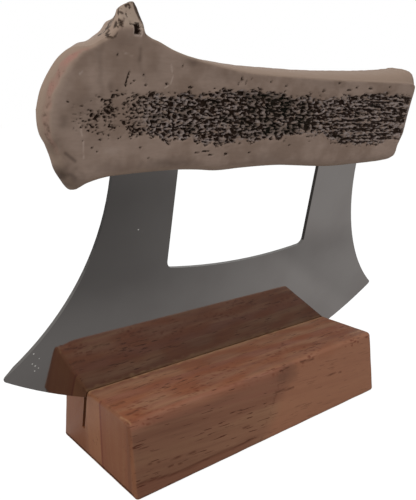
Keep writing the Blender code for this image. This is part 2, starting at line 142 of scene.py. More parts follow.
# Dark dashes in the wood on the block's front, in millimetres: along and up at each end, and half
# their width
wood_dashes = (
    (1.4, 13.9, 9.6, 13.0, 0.5), (25.5, 12.4, 30.5, 12.0, 0.3), (30.4, 12.0, 33.6, 11.6, 0.22),
    (-13.0, 7.2, -9.0, 6.8, 0.25), (13.5, 20.4, 19.5, 19.8, 0.55), (-47.5, 8.9, -42.7, 8.1, 0.22),
    (-41.8, 6.0, -35.8, 5.0, 0.22), (-39.2, 7.3, -31.0, 6.5, 0.25))
# The same on its top: along and back at each end, and half their width
top_dashes = (
    (-50.4, -7.5, -46.0, -7.5, 0.55), (-49.0, -14.0, -45.6, -13.4, 0.6),
    (-40.5, -11.8, -35.3, -11.5, 0.4))
# Layers that show in the end grain, in millimetres: how far back the middle is, half the width, the
# width of its soft edge, the strength and the colour
end_layers = (
    (13.5, 6.5, 2.0, 0.45, "603518"), (0.5, 3.5, 0.8, 0.14, "a8744f"),
    (-3.54, 0.2, 0.5, 0.8, "5f3022"), (-17.9, 0.5, 0.6, 0.45, "5a3828"))
# Nicks in the steel that catch the light: millimetres along and up, and their half width
steel_nicks = (
    (-68.1, 29.0, 0.3), (-68.4, 26.1, 0.26), (-67.6, 25.3, 0.3), (-66.7, 24.4, 0.24),
    (-67.7, 23.8, 0.26), (-66.6, 27.2, 0.18), (-39.8, 59.5, 0.26))

# Where the antler's spongy core shows on the front: millimetres from the crown end, then the
# core's lowest and highest edge above the window's top, and how dense its pores are, nought to one
core_spread = (
    (4.0, 12.0, 17.0, 0.0), (7.0, 10.5, 18.0, 0.2), (10.0, 9.6, 18.4, 0.36), (15.0, 9.0, 19.2, 0.48),
    (20.0, 8.8, 19.4, 0.46), (25.0, 8.6, 19.2, 0.6), (29.0, 8.2, 19.4, 0.8), (34.0, 7.9, 19.8, 0.88),
    (42.0, 7.2, 20.1, 0.92), (50.0, 6.2, 21.3, 0.97), (60.0, 7.2, 21.5, 1.0), (71.0, 7.6, 20.9, 1.0),
    (80.0, 8.6, 20.3, 0.94), (87.0, 9.0, 20.1, 0.92), (96.0, 6.4, 21.1, 0.94),
    (104.0, 5.4, 21.9, 0.94), (112.0, 5.3, 22.5, 0.94), (121.0, 5.8, 22.7, 0.94),
    (128.0, 6.6, 22.1, 0.92), (134.0, 7.5, 21.6, 0.9))
# How much longer the core's cells are than one pore, from the crown end on, in millimetres
pore_growth = (
    (0, 0.69), (20, 0.81), (34, 1.0), (60, 1.4), (84, 1.6), (100, 1.9), (134, 2.2))
# The core's deepest hollows: half their length and height, and their middles, millimetres along and up
pit_size = (3.4, 2.0)
main_pits = (
    (29.5, 13.5), (36.4, 15.0), (39.2, 10.9), (45.9, 17.2), (50.6, 13.4), (56.6, 13.2), (59.6, 18.0),
    (63.2, 13.3), (69.1, 15.0), (81.2, 11.7), (82.3, 15.2), (98.0, 8.0), (106.1, 15.2), (113.6, 17.8))
# Single pores outside the core: millimetres along and up, and half their length and height
single_pores = (
    (9.5, 27.5, 0.22, 0.25), (16.6, 27.1, 0.2, 0.24), (11.8, 6.8, 0.26, 0.24), (13.1, 5.9, 0.2, 0.18),
    (51.5, 4.3, 0.6, 0.35), (80.0, 25.9, 0.5, 0.3), (82.7, 26.8, 0.5, 0.35), (92.3, 24.4, 0.55, 0.35),
    (86.0, 21.9, 0.75, 0.4), (101.1, 23.3, 0.65, 0.3), (30.2, 21.4, 0.4, 0.28), (37.2, 20.9, 0.7, 0.3),
    (97.8, 22.6, 1.3, 0.35), (53.4, 23.6, 0.4, 0.5), (52.6, 22.4, 0.32, 0.32),
    (55.0, 22.8, 0.32, 0.28), (56.8, 23.8, 0.26, 0.2), (34.2, 25.8, 0.26, 0.26),
    (108.0, 23.4, 1.2, 0.25), (44.5, 5.2, 1.3, 0.22), (60.0, 4.4, 0.45, 0.26), (75.5, 6.2, 0.4, 0.26),
    (13.8, 8.6, 0.45, 0.2), (41.8, 4.9, 0.9, 0.18), (46.2, 4.2, 0.8, 0.22), (38.0, 22.4, 0.3, 0.2),
    (64.0, 23.4, 0.35, 0.22), (70.0, 22.6, 0.4, 0.22), (27.0, 4.0, 0.3, 0.16), (24.5, 6.6, 0.32, 0.22),
    (19.2, 20.6, 0.2, 0.3), (118.0, 24.2, 0.6, 0.2), (18.2, 36.2, 0.28, 0.3), (20.9, 36.7, 0.55, 0.3),
    (22.2, 37.6, 0.5, 0.3), (17.9, 34.6, 0.3, 0.22), (19.4, 34.9, 0.24, 0.4), (16.6, 33.4, 0.5, 0.22),
    (19.9, 33.5, 0.6, 0.28), (20.6, 35.4, 0.2, 0.2), (23.7, 23.2, 0.34, 0.22),
    (24.1, 22.4, 0.26, 0.26), (24.5, 20.9, 0.34, 0.24), (21.3, 21.7, 0.3, 0.2),
    (20.5, 21.1, 0.24, 0.18))
# The squarish pit at the stub's foot, given in the same way
stub_pit = (21.3, 32.5, 1.0, 1.15)
# The core's oval on the sawn end: millimetres across and up, and half its width and height
end_core = (-8.5, 14.5, 12, 7.5)
# Soft patches on the front, darker or (below nought) paler than the rest: millimetres along and up,
# half their length and height, and how strong each is. The darker ones low along the lower edge,
# from the crown's lower tip on, are painted shade; the rest are soft blotches
blotches_and_shade = (
    (4.9, 12.4, 1.3, 1.7, 0.35), (15.4, 20.4, 1.0, 1.6, 0.25), (5.0, 1.2, 3.2, 3.0, 0.55),
    (7.5, -1.0, 4.5, 3.0, 0.4), (17.0, 2.4, 7.0, 1.6, 0.2), (33.0, 2.6, 10.0, 1.7, 0.42),
    (17.0, 6.0, 3.4, 1.6, -0.3), (9.0, 22.0, 3.4, 4.0, -0.12), (37.0, 26.6, 2.4, 0.9, 0.4),
    (16.5, 25.0, 2.6, 4.5, 0.05), (26.5, 24.5, 2.6, 3.2, 0.1), (47.0, 24.0, 8.0, 1.6, 0.12),
    (90.0, 24.0, 14.0, 1.4, 0.14), (118.0, 4.0, 10.0, 2.0, -0.14), (66.0, 3.0, 8.0, 1.8, 0.16),
    (91.0, 6.0, 3.0, 2.0, -0.2), (3.2, 7.2, 1.5, 2.4, 0.45), (12.0, 12.0, 3.0, 7.0, 0.06),
    (9.8, 20.2, 1.5, 1.2, 0.1), (17.8, 30.0, 3.6, 1.6, 0.12), (9.5, 15.5, 4.0, 4.5, 0.14))
# Fine dark lines and pale scratches on the front, half their width, and each through some places
crack_width, scratch_width = 0.38, 0.32
cracks = (
    ((19.9, 23.5), (19.6, 22.7), (19.3, 21.6), (19.1, 20.8)),
    ((16.0, 34.3), (16.4, 33.4), (17.0, 33.0), (17.4, 33.4)))
scratches = (
    ((17.6, 27.9), (18.6, 27.4), (21.2, 26.7)), ((30.8, 25.7), (31.7, 23.3), (31.2, 21.4), (29.7, 20.5)),
    ((7.9, 22.5), (8.5, 22.9)), ((8.6, 11.8), (9.6, 8.4), (9.9, 4.6)))
# Soft stained lines: strength, half width, how much they waver and the places they pass
stains = (
    (0.22, 1.5, 2.0, ((12.6, 31.0), (12.4, 25.6), (13.6, 18.4))),
    (0.30, 0.9, 1.0, ((22.1, 28.6), (22.3, 26.4))),
    (0.14, 1.3, 1.0, ((22.3, 26.4), (22.8, 23.7), (24.4, 22.1))),
    (0.50, 0.7, 0.0, ((5.5, 5.8), (6.6, 5.0), (7.9, 4.0))))

# The camera that the photograph's outlines fit: metres, and degrees for azimuth, elevation and roll
camera_place = (-0.12070, -0.13415, 0.09874)
camera_angles = (39.323, -13.368, 0.50)
# The lamps: name, place, width and watts, and where all of them look
lamps = (("key_lamp", (-0.75, -0.15, 0.75), 0.6, 7.0), ("fill_lamp", (0.5, -0.9, 0.6), 0.8, 3.0))
lamp_target = Vector((0.0, 0.0, 0.06))
# The card's darker patches: where each begins and is full along the knife and across it, and how
# strong it is
card_patches = (((0.150, 0.090), (-0.045, -0.150), 0.42), ((0.090, 0.110), (-0.085, -0.060), 0.18))


def linear(code):
    """Turn an sRGB hex colour into the linear red, green and blue that shaders take."""
    share = np.array([int(code[k:k + 2], 16) for k in (0, 2, 4)]) / 255
    return tuple(np.where(share <= 0.04045, share / 12.92, ((share + 0.055) / 1.055) ** 2.4).tolist())


def length(name, description, default):
    """A size that a user would change."""
    return bpy.props.FloatProperty(
        name=name, description=description, default=default, unit="LENGTH", precision=5)


def paint(name, description, code):
    """A colour that a user would change."""
    return bpy.props.FloatVectorProperty(
        name=name, description=description, default=linear(code), subtype="COLOR", size=3, min=0, max=1)


class HandleSettings(bpy.types.PropertyGroup):
    """Sizes and colours of the antler handle."""

    length: length("Length", "Length of the slab", 133.1 * MM)
    height: length("Height", "Height of the slab above the window's top at its middle", 25.7 * MM)
    thickness: length("Thickness", "Thickness of the slab", 17.0 * MM)
    pore_length: length("Pore length", "Length of one pore of the spongy core", 1.6 * MM)
    pore_height: length("Pore height", "Height of one pore of the spongy core", 0.92 * MM)
    pore_depth: length("Pore depth", "Depth of the deepest pores", 0.9 * MM)
    face: paint("Sanded face", "Colour of the sanded antler", "8c796d")
    skin: paint("Outer skin", "Colour of the antler's natural outer skin", "887567")
    pore: paint("Pore", "Colour deep inside the pores", "24170f")
    strut: paint("Strut", "Colour of the fine walls between pores", "8a7f7c")


class BladeSettings(bpy.types.PropertyGroup):
    """Finish of the blade."""

    steel: paint("Steel", "Colour of the polished steel", "acabaa")
    haze: paint("Haze", "Colour of the steel where handling has dulled it", "a5a3a2")
    edge: paint("Cut edge", "Colour of the dull cut edges", "2e2b29")
    brushing: length("Brushing", "Spacing of the finest polishing lines", 0.5 * MM)


class BlockSettings(bpy.types.PropertyGroup):
    """Sizes and colours of the hardwood block."""

    edge_radius: length("Edge radius", "How round the block's edges are", 1.4 * MM)
    foot_radius: length("Foot radius", "How round the long edges of the base are", 0.9 * MM)
    lip_radius: length("Lip radius", "How round the lips of the kerf are", 0.25 * MM)
    heart: paint("Heartwood", "Colour of the redder wood", "825542")
    pale: paint("Pale wood", "Colour of the paler wood", "8d674d")
    pore: paint("Wood pore", "Colour of the open pores along the grain", "4a2412")
    lip: paint("Kerf lip", "Colour of the fresh wood at the kerf's lip", "977050")
    ring_width: length("Ring width", "Width of a growth ring", 5.0 * MM)
    pore_length: length("Pore length", "Length of an open pore along the grain", 6.0 * MM)
    pore_width: length("Pore width", "Width of an open pore", 0.45 * MM)


class StageSettings(bpy.types.PropertyGroup):
    """The floor, the lights and the camera."""

    floor: paint("Floor", "Colour of the plain floor", "c8c8c8")
    floor_width: length("Floor width", "Width of the floor", 6.0)
    lens: bpy.props.FloatProperty(name="Lens", description="Focal length in millimetres", default=42.15)
    sensor: bpy.props.FloatProperty(
        name="Sensor", description="Sensor size along the picture's longer side", default=36.0)


def fill(node, *values, **inputs):
    """Give a node's sockets their values in order, or by name with underscores for spaces.

    A value can be another node's output. A node given as a value stands for its first output in use.
    """
    wanted = list(zip([socket for socket in node.inputs if socket.enabled], values))
    wanted += [(node.inputs[name.replace("_", " ")], value) for name, value in inputs.items()]
    for socket, value in wanted:
        if isinstance(value, bpy.types.Node):
            value = next(output for output in value.outputs if output.enabled)
        if isinstance(value, bpy.types.NodeSocket):
            node.id_data.links.new(value, socket)
        elif socket.type == "RGBA":
            socket.default_value = (*value, 1.0)
        elif value is not None:
            socket.default_value = value


def add_node(tree, kind, choices, *values, **inputs):
    """Add a node to a tree, with its own choices, and fill its sockets."""
    made = tree.nodes.new("ShaderNode" + kind)
    for name, value in choices.items():
        setattr(made, name, value)
    fill(made, *values, **inputs)
    return made


BLEND = {"data_type": "RGBA"}
EASE = {"interpolation_type": "SMOOTHSTEP"}
TIMES = {"operation": "MULTIPLY"}
PLUS = {"operation": "ADD"}
LESS = {"operation": "SUBTRACT"}
MOST = {"operation": "MAXIMUM"}
SIZE = {"operation": "ABSOLUTE"}
TIMES_PLUS = {"operation": "MULTIPLY_ADD"}


def new_material(name):
    """An empty material, the way to add nodes to it, and its principled shader."""
    material = bpy.data.materials.new(name)
    material.use_nodes = True
    tree = material.node_tree
    return material, partial(add_node, tree), tree.nodes["Principled BSDF"]


def painted(add, name):
    """The four numbers that each place of a piece carries under this name."""
    layer = add("Attribute", {"attribute_name": name})
    return [*add("SeparateColor", {}, layer).outputs, layer.outputs["Alpha"]]


def coated(add, base, *coats):
    """Lay colours over a base, one after another.

    Each coat says how its share climbs, what the share is read from, between which values and up
    to which share it climbs, and the colour.
    """
    for way, source, span, colour in coats:
        base = add("Mix", BLEND, add("MapRange", way, source, *span), base, colour)
    return base


def dress(piece, material):
    """Give a piece one material."""
    piece.data.materials.clear()
    piece.data.materials.append(material)


def smooth_step(share):
    """A smooth climb from nought to one."""
    share = np.clip(share, 0, 1)
    return share ** 2 * (3 - 2 * share)


def climb(value, start, end):
    """A smooth climb from nought where the value is at the start to one where it is at the end."""
    return smooth_step((value - start) / (end - start))


def ripples(along, up, seed):
    """Smooth noise from about -1 to 1 on a unit lattice.

    Each lattice corner has a seeded slope. A point takes what the slopes of the four corners round
    it give there, blended by a smooth climb from corner to corner.
    """
    turns = np.random.default_rng(seed).uniform(0, 2 * math.pi, (128, 128))
    column, row = np.floor(along).astype(int), np.floor(up).astype(int)
    x, y = along - column, up - row
    total = 0
    for i in (0, 1):
        for j in (0, 1):
            turn = turns[(column + i) % 128, (row + j) % 128]
            weight = climb(abs(x - i), 1, 0) * climb(abs(y - j), 1, 0)
            total = total + weight * (np.cos(turn) * (x - i) + np.sin(turn) * (y - j))
    return total * 1.6


def patches(along, up, seed, share, contrast):
    """Soft patches from nought to one: a share that ripples raise and lower by this much."""
    return smooth_step(share + contrast * ripples(along, up, seed))


def cells(along, up, seed):
    """Cells on a unit lattice, each grown from a seeded spot.

    Gives the reach to the nearest spot, how much further the second nearest is, which is nought
    on the wall between two cells and grows towards a cell's middle, and two random numbers for
    the nearest cell.
    """
    spots = np.random.default_rng(seed).uniform(0.08, 0.92, (128, 128, 4))
    column, row = np.floor(along).astype(int), np.floor(up).astype(int)
    nearest = np.full(along.shape, 9.0)
    second = nearest.copy()
    chances = np.zeros((*along.shape, 2))
    for i in (-1, 0, 1):
        for j in (-1, 0, 1):
            spot = spots[(column + i) % 128, (row + j) % 128]
            reach = np.hypot(column + i + spot[..., 0] - along, row + j + spot[..., 1] - up)
            closer = reach < nearest
            second = np.where(closer, nearest, np.minimum(second, reach))
            chances = np.where(closer[..., None], spot[..., 2:], chances)
            nearest = np.where(closer, reach, nearest)
    return nearest, second - nearest, chances


def knife_to_world(u, y, h):
    """Places in the knife's own frame, as world places.

    They turn by the roll about the centre of the cutting edge's arc, then by the lean about the
    kerf's mouth, and are set down at the kerf.
    """
    z = h - edge_radius
    x = u * math.cos(knife_roll) + z * math.sin(knife_roll)
    z = -u * math.sin(knife_roll) + z * math.cos(knife_roll) + edge_rest_height + edge_radius
    back = y * math.cos(kerf_lean) - z * math.sin(kerf_lean)
    rise = y * math.sin(kerf_lean) + z * math.cos(kerf_lean)
    return np.stack((x + knife_offset, back + kerf_setback, rise + block_high.z), axis=-1)


def grid_faces(rows, columns, wrap):
    """The quads of a grid whose points are numbered row by row, closed across its columns if asked."""
    row = np.arange(rows - 1)[:, None]
    column = np.arange(columns if wrap else columns - 1)[None]
    following = (column + 1) % columns
    corners = (row * columns + column, (row + 1) * columns + column,
               (row + 1) * columns + following, row * columns + following)
    return np.stack(corners, axis=-1).reshape(-1, 4)


def add_piece(name, places, faces, layers, weld=0.0):
    """Make an object from an array of places and its faces, with the colour attributes in layers."""
    mesh = bpy.data.meshes.new(name)
    mesh.from_pydata(places.reshape(-1, 3), [], faces if isinstance(faces, list) else faces.tolist())
    for label, values in layers.items():
        layer = mesh.attributes.new(label, "FLOAT_COLOR", "POINT")
        layer.data.foreach_set("color", values.reshape(-1).astype(np.float32))
    form = bmesh.new()
    form.from_mesh(mesh)
    if weld:
        bmesh.ops.remove_doubles(form, verts=form.verts, dist=weld)
        bmesh.ops.dissolve_degenerate(form, edges=form.edges, dist=weld)
    bmesh.ops.recalc_face_normals(form, faces=form.faces)
    form.to_mesh(mesh)
    form.free()
    mesh.shade_smooth()
    piece = bpy.data.objects.new(name, mesh)
    bpy.context.scene.collection.objects.link(piece)
    return piece


def smooth_curve(points):
    """A smooth curve through the points: each stretch blends the slopes at its two ends."""
    points = np.array(points)
    before = np.vstack((2 * points[0] - points[1], points[:-1]))
    after = np.vstack((points[1:], 2 * points[-1] - points[-2]))
    gaps_before = np.linalg.norm(points - before, axis=1)[:, None]
    gaps_after = np.linalg.norm(after - points, axis=1)[:, None]
    lean_before = (points - before) / gaps_before
    lean_after = (after - points) / gaps_after
    slopes = (lean_before * gaps_after + lean_after * gaps_before) / (gaps_before + gaps_after)
    share = (np.arange(spline_steps) / spline_steps)[None, :, None]
    start, end = points[:-1, None], points[1:, None]
    reach = gaps_after[:-1, None]
    curve = (
        start * (2 * share ** 3 - 3 * share ** 2 + 1)
        + end * (3 * share ** 2 - 2 * share ** 3)
        + slopes[:-1, None] * reach * (share ** 3 - 2 * share ** 2 + share)
        + slopes[1:, None] * reach * (share ** 3 - share ** 2))
    return np.vstack((curve.reshape(-1, 2), points[-1:]))


def handle_outline(sizes):
    """The slab's outline from the crown end to the far end: the upper curve, then the lower.

    Along is measured from the crown end and up from the window's top.
    """
    shares = over_the_top_shares + along_the_underside_shares + over_the_top_shares[:1]
    closed = smooth_curve(np.array(shares) * (sizes.length, sizes.height))
    start = int(np.argmin(closed[:-1, 0]))
    closed = np.vstack((closed[start:-1], closed[:start + 1]))
    turn = int(np.argmax(closed[:, 0]))
    return closed[:turn + 1], closed[turn:][::-1]


def distance_to_curve(along, up, curve):
    """The distance from each place to a run of straight stretches."""
    start, run = curve[:-1], curve[1:] - curve[:-1]
    squares = np.maximum((run ** 2).sum(-1), MM ** 4)
    nearest = np.full(along.shape, 1.0)
    for (x, z), (dx, dz), square in zip(start, run, squares):
        share = np.clip(((along - x) * dx + (up - z) * dz) / square, 0, 1)
        nearest = np.minimum(nearest, np.hypot(along - x - share * dx, up - z - share * dz))
    return nearest


def crowded_steps(count):
    """Shares from nought to one that crowd together at nought, where a rim is steepest."""
    return 1 - np.cos(np.arange(count + 1) * math.pi / 2 / count)


def rows_between(lower, upper, low_rim, high_rim, rim_rows, face_rows, top_rows):
    """Heights across each station: crowded in both rims and even on the face between.

    The rows above go on level to the stub's height, and end where they meet the upper rim.
    """
    most = (upper - lower) / 2
    low_rim, high_rim = (np.minimum(rim, most)[:, None] for rim in (low_rim, high_rim))
    low = lower[:, None] + low_rim * crowded_steps(rim_rows)[None]
    high = (upper[:, None] - high_rim * crowded_steps(rim_rows)[None])[:, ::-1]
    start, end = low[:, -1:], high[:, :1]
    turn = start + 0.96 * (np.minimum(end, shoulder_height * MM) - start)
    level = start + (np.arange(1, face_rows + 1) / face_rows)[None] * (turn - start)
    above = turn + (np.arange(1, top_rows) / top_rows)[None] * (end - turn).max()
    return np.hstack((low, level, np.minimum(above, end), high))


def front_rim(x, z):
    """How wide the front's rounded rim is: narrow along the top, wider below and round the crown."""
    width = top_rim + (under_rim - top_rim) * climb(z, 10, 4)
    return width + (crown_rim - width) * climb(x, 11, 5) * climb(z, 3, 9)


def rim_fall(distance, width):
    """How far the face has dropped towards the middle, this far in from the outline: a quarter circle."""
    return width * (1 - np.sqrt(1 - (1 - np.clip(distance / width, 0, 1)) ** 2))


def top_swell(x, length, end, share):
    """How far the top swells up between the two faces, in millimetres.

    Along the handle it follows its table and is rounded off at the sawn end. Across the handle it
    is one less a high power of the distance from the middle.
    """
    swell = swell_height * np.interp(x / length, *np.transpose(top_swell_shares))
    swell = swell * np.sqrt(1 - np.clip((x - end) / swell_round + 1, 0, 1) ** 2)
    return swell[:, None] * (1 - abs(1 - 2 * share) ** 5)


def spongy_core(x, z, sizes):
    """The antler's spongy core: how open it is at each place, how deep, and how pale its struts are.

    A net of cells with thin walls fills the core, and lengthwise ripples join cells into bigger
    ragged pores. The cells lengthen towards the sawn end, where the core was cut along its tubes.
    Round the core and towards the crown there are single small pores, and fine hairlines begin it.
    """
    knots = np.array(core_spread)
    low, high, density = (np.interp(x, knots[:, 0], knots[:, k]) for k in (1, 2, 3))
    wander = 1.1 * ripples(x / 5.1, z / 3.3, 11) + 0.8 * ripples(x / 1.9, z / 1.0, 12)
    dense = density * climb(np.minimum(z - low, high - z) + wander, -1.1, 1.9)
    late, early = climb(x, 84, 100), climb(x, 32, 22)
    grid = np.arange(0, 140, 0.25)
    widths = np.interp(grid, *np.transpose(pore_growth)) * sizes.pore_length / MM
    count = np.interp(x + pore_wobble(x, z, 21), grid, np.cumsum(0.25 / widths))
    height = sizes.pore_height / MM * (1 + 0.25 * climb(x, 45, 80))
    bend_z = (0.9 - 0.45 * late) * pore_wobble(x, z, 23)
    _, wall_reach, chances = cells(count, 20 + (z + bend_z - 14) / height, 31)
    join = 0.42 * (1 - late) * ripples(x / 1.5, (z + 0.6 * bend_z) / 0.50, 45)
    join = join + 0.78 * late * ripples(x / 7.0, (z + 1.3 * bend_z) / 0.52, 48)
    join = join + (0.14 + 0.16 * late) * ripples(x / 0.7, z / 0.40, 46)
    join = join + 0.20 * (1 - early) * ripples(x / 2.6, z / 1.7, 34)
    cluster = 0.26 * ripples(x / 3.4, z / 2.2, 33) * (0.4 + 0.6 * early)
    full = dense + cluster * (dense > 0.05)
    wall = 1.15 - 1.08 * climb(full, 0.12, 0.62) - 0.14 * climb(full, 0.75, 1)
    net = climb(wall_reach + join - wall - 0.25 * (chances[..., 0] - 0.5), 0, 0.44) * (dense > 0.08)
    near, _, spot_chances = cells((x + 0.4 * pore_wobble(x, z, 21)) / 1.05, (z + 0.4 * bend_z) / 0.55, 32)
    size = 0.12 + 0.34 * spot_chances[..., 0] ** 2 + 0.10 * ripples(x / 0.5, z / 0.3, 42)
    spots = climb(near - size, 0.2, 0) * (spot_chances[..., 1] < 0.04 + 0.55 * dense + 1.2 * cluster)
    spots = spots * (dense > 0.05) * climb(dense, 0.8, 0.6)
    hairlines = climb(ripples(x / 1.6, z / 0.22, 47), 0.3, 0.5) * climb(x, 11, 8)
    opened = np.maximum(np.maximum(net, 0.85 * spots), 0.60 * hairlines * climb(dense, 0.12, 0.22))
    raggedness = 0.30 * ripples(x / 0.45, z / 0.4, 71)
    for pore in single_pores:
        opened = np.maximum(opened, climb(oval(x, z, *pore) + raggedness, 1.2, 0.7))
    broad = np.zeros(x.shape)
    for middle in main_pits:
        reach = oval(x, z, *middle, *pit_size) + 0.35 * ripples(x / 1.6, z / 1.1, 72)
        broad = np.maximum(broad, 0.6 * climb(reach, 1, 0.2))
    cloud = climb(x, 52, 62) * climb(x, 88, 78) * climb(dense, 0.6, 0.9)
    broad = np.maximum(broad, cloud * patches(x / 5.0, z / 3.0, 73, 0.5, 0.9))
    broad = broad * climb(dense, 0.5, 0.8)
    deep = (0.45 + 0.30 * dense + 0.25 * chances[..., 1]) * (1 + 0.25 * broad)
    pale = patches(x / 1.3, z / 0.7, 61, 0.5, 1.1) * climb(dense, 0.45, 0.75)
    return opened, deep, pale * (1 - 0.75 * broad), dense, broad


def pore_wobble(x, z, seed):
    """How far the net of pores is bent here, in millimetres: a slow wave and a finer one."""
    return 0.55 * ripples(x / 2.6, z / 1.6, seed) + 0.22 * ripples(x / 0.9, z / 0.7, seed + 1)


def oval(x, z, middle_x, middle_z, half_x, half_z):
    """How far out in an oval a place lies: nought in its middle and one on its edge."""
    return np.hypot((x - middle_x) / half_x, (z - middle_z) / half_z)


def groove(x, z, points, half_width):
    """A soft line through some points: one on it, and nought beyond its half width."""
    return 1 - smooth_step(distance_to_curve(x, z, np.array(points, float)) / half_width)


def face_marks(x, z):
    """Marks on the front: how darkly each place is stained and, along the lower edge, painted with shade,
    how it is cut or scratched, and the pit by the stub.
    """
    wobble = 0.4 * ripples(x / 2.5, z / 2.5, 81)
    stain_and_shade = sum(strength * groove(x + waver * wobble, z, points, half_width)
                for strength, half_width, waver, points in stains)
    # the darker patches low along the lower edge are painted shade
    for *patch, strength in blotches_and_shade:
        reach = oval(x, z, *patch) + 0.30 * ripples(x / 1.5, z / 1.2, 83)
        stain_and_shade = stain_and_shade + strength * climb(reach, 1.3, 0)
    cut = sum(0.9 * groove(x, z, points, crack_width) for points in cracks)
    scratch = sum(groove(x, z, points, scratch_width) for points in scratches)
    scratch = scratch * patches(x / 1.2, z / 1.2, 84, 0.7, 1)
    pit_x, pit_z, half_x, half_z = stub_pit
    pit = (abs((x - pit_x) / half_x) ** 3 + abs((z - pit_z) / half_z) ** 3) ** (1 / 3)
    pit = pit + 0.18 * ripples(x / 0.8, z / 0.8, 82)
    rim = climb(pit, 0.85, 1.05) * climb(pit, 1.45, 1.15)
    return stain_and_shade - 0.6 * (scratch + rim), np.clip(cut, 0, 1), climb(pit, 1.05, 0.75)


def crown_marks(x, z, inset, width):
    """The crown's rim, from the outline inwards: grey skin, then a rough redder band, then a pale crest.

    Gives the bark's darkness, the redness, the paleness and how deep the rough band lies.
    """
    crown = climb(x, 12, 7) * climb(z, 4, 8)
    share = inset / width + 0.10 * ripples(x / 2.1, z / 2.1, 92)
    rough = climb(share, 0.14, 0.26) * climb(share, 0.58, 0.44) * crown
    texture = 0.5 + 0.9 * ripples(x / 0.7, z / 1.0, 93)
    red = rough * (0.35 + 0.65 * climb(z, 14, 22)) * (0.45 + 0.55 * patches(x / 1.5, z / 2.0, 99, 0.55, 1.1))
    crest = climb(share, 0.5, 0.6) * climb(share, 0.8, 0.66) * crown
    low_end = climb(z, 12, 8) * climb(z, 3.5, 5.5) * climb(x, 4.2, 2.2)
    bark = (0.40 + 0.08 * climb(z, 20, 12)) * rough * np.clip(texture, 0, 1)
    bark = bark + 0.34 * low_end * patches(x / 1.1, z / 1.3, 94, 0.4, 0.9)
    stub = climb(z, 32.4, 33.2) * climb(x, 26, 24) * climb(x, 14, 15.5)
    specks = patches(x / 0.9, z / 0.9, 95, 0.32, 1.8)
    edge = 0.95 * climb(inset, 1.5, 0.4) * specks
    skin = np.maximum(edge, (0.25 + 0.60 * climb(z, 33.5, 35)) * climb(x, 21.9, 22.4))
    foot = climb(x, 12, 13.5) * climb(x, 19, 18) * climb(z, 29.5, 30.5)
    bark = np.clip(bark + np.maximum(stub * skin, foot * edge), 0, 1)
    pale = 0.20 * crest + 0.75 * stub * (1 - skin)
    return bark, red, pale, rough * (0.25 + 0.25 * texture)


def shape_crown(x, y, z, half, beside_slot):
    """Bend the slab's crown end: it runs back at a slant, and the tine's stub is sawn off aslope.

    Behind the wide front rim a slanted end moves each place along the handle by its depth. Above
    the shoulder the stub's front leans back to a crest. The rows beside the mortises stay put.
    """
    rim_front = half - crown_rim * MM
    back_share = np.maximum(y + rim_front, 0.0) / (half + rim_front)
    nearness = climb(x, slant_fade * MM, 0) * (1 - beside_slot * climb(x / MM, 15, 19))
    stub = climb(z / MM, 32.2, 37.8)
    x = x + crown_slant * MM * nearness * back_share + stub_shift * MM * stub
    y = y * (1 - 0.6 * stub) + stub_lean * MM * stub
    return x, y, z - stub_drop * MM * stub * back_share


def stacked(*numbers):
    """Four numbers for each place. A single number stands for the same one everywhere."""
    return np.stack(np.broadcast_arrays(*numbers), axis=-1)


def front_skin(x, z, inset, inner, sizes):
    """The front: how wide its rim is, how deep its pores and cuts lie, its marks and its tints."""
    width = front_rim(x, z)
    opened, deep, pale, dense, broad = spongy_core(x, z, sizes)
    stain_and_shade, cut, pit = face_marks(x, z)
    bark, red, crest, rough = crown_marks(x, z, inset, width)
    opened = opened * inner
    depth = sizes.pore_depth / MM * opened * deep + (0.25 * dense + 0.35 * broad) * inner
    depth = depth + 0.35 * cut + 1.8 * pit + 0.5 * rough + 0.25 * bark * climb(z, 30, 32)
    dark = np.clip(opened * (0.35 + 0.65 * deep) + cut + pit, 0, 1)
    stain_and_shade = np.clip(0.5 + 0.5 * stain_and_shade + 0.10 * climb(dense, 0.35, 0.8), 0, 1)
    marks = stacked(dark, stain_and_shade, pale, climb(inset / width, 1.05, 0.05))
    return width, depth, marks, stacked(bark, red, crest, broad)


def back_skin(x, z, inset, inner, sizes):
    """The back, in the antler's natural skin: the same four things, with ridges along the handle."""
    ridges = ripples(x / 26, z / 2.6, 96) + 0.5 * ripples(x / 11, z / 1.3, 97)
    marks = stacked(0.0, np.clip(0.5 + 0.25 * ridges, 0, 1), 0.0, 1.0)
    return back_rim, 0.35 * smooth_step(0.4 + 0.7 * ridges) * inner, marks, 0.0 * marks


def wall_skin(x, y, z, last, half, bark):
    """The marks and tints of the top, the underside and the sawn end between them.

    On the end the core shows as a dark oval; elsewhere there is natural skin.
    """
    sawn = climb(x - last, -1.8, -0.8) * climb(abs(y) / (half - 1), 2, 1)
    core = 0.5 * sawn * climb(oval(y, z, *end_core), 1.2, 0.8)
    marks = stacked(core, 0.5, 0.0, 1 - sawn)
    return marks, stacked(bark, 0.0, 0.0, 0.0 * x)


def top_wall(stations, high, front, back, sizes):
    """The top: from the front's last row to the back's, with its swell and the bark at the stub."""
    share = (1 - np.cos(np.arange(1, top_rows + 1) * math.pi / (top_rows + 1)))[None] / 2
    across = front + share * (back - front)
    x, y = stations[:, None] / MM, across / MM
    swell = top_swell(stations / MM, sizes.length / MM, stations[-1] / MM, share)
    up = high[:, None] + MM * swell
    up = up + 0.14 * MM * ripples(x / 3.1 + 7, y / 2.6, 98) * np.sin(math.pi * share)
    bark = climb(x, 12, 13.5) * climb(x, 20, 19) * patches(x / 0.9, y / 1.3, 95, 0.3, 1.8)
    bark = np.maximum(0.9 * bark, 0.7 * climb(x, 20.5, 21.5) * climb(x, 23.45, 23.25))
    return across, up, bark * climb(y, 4, -2)


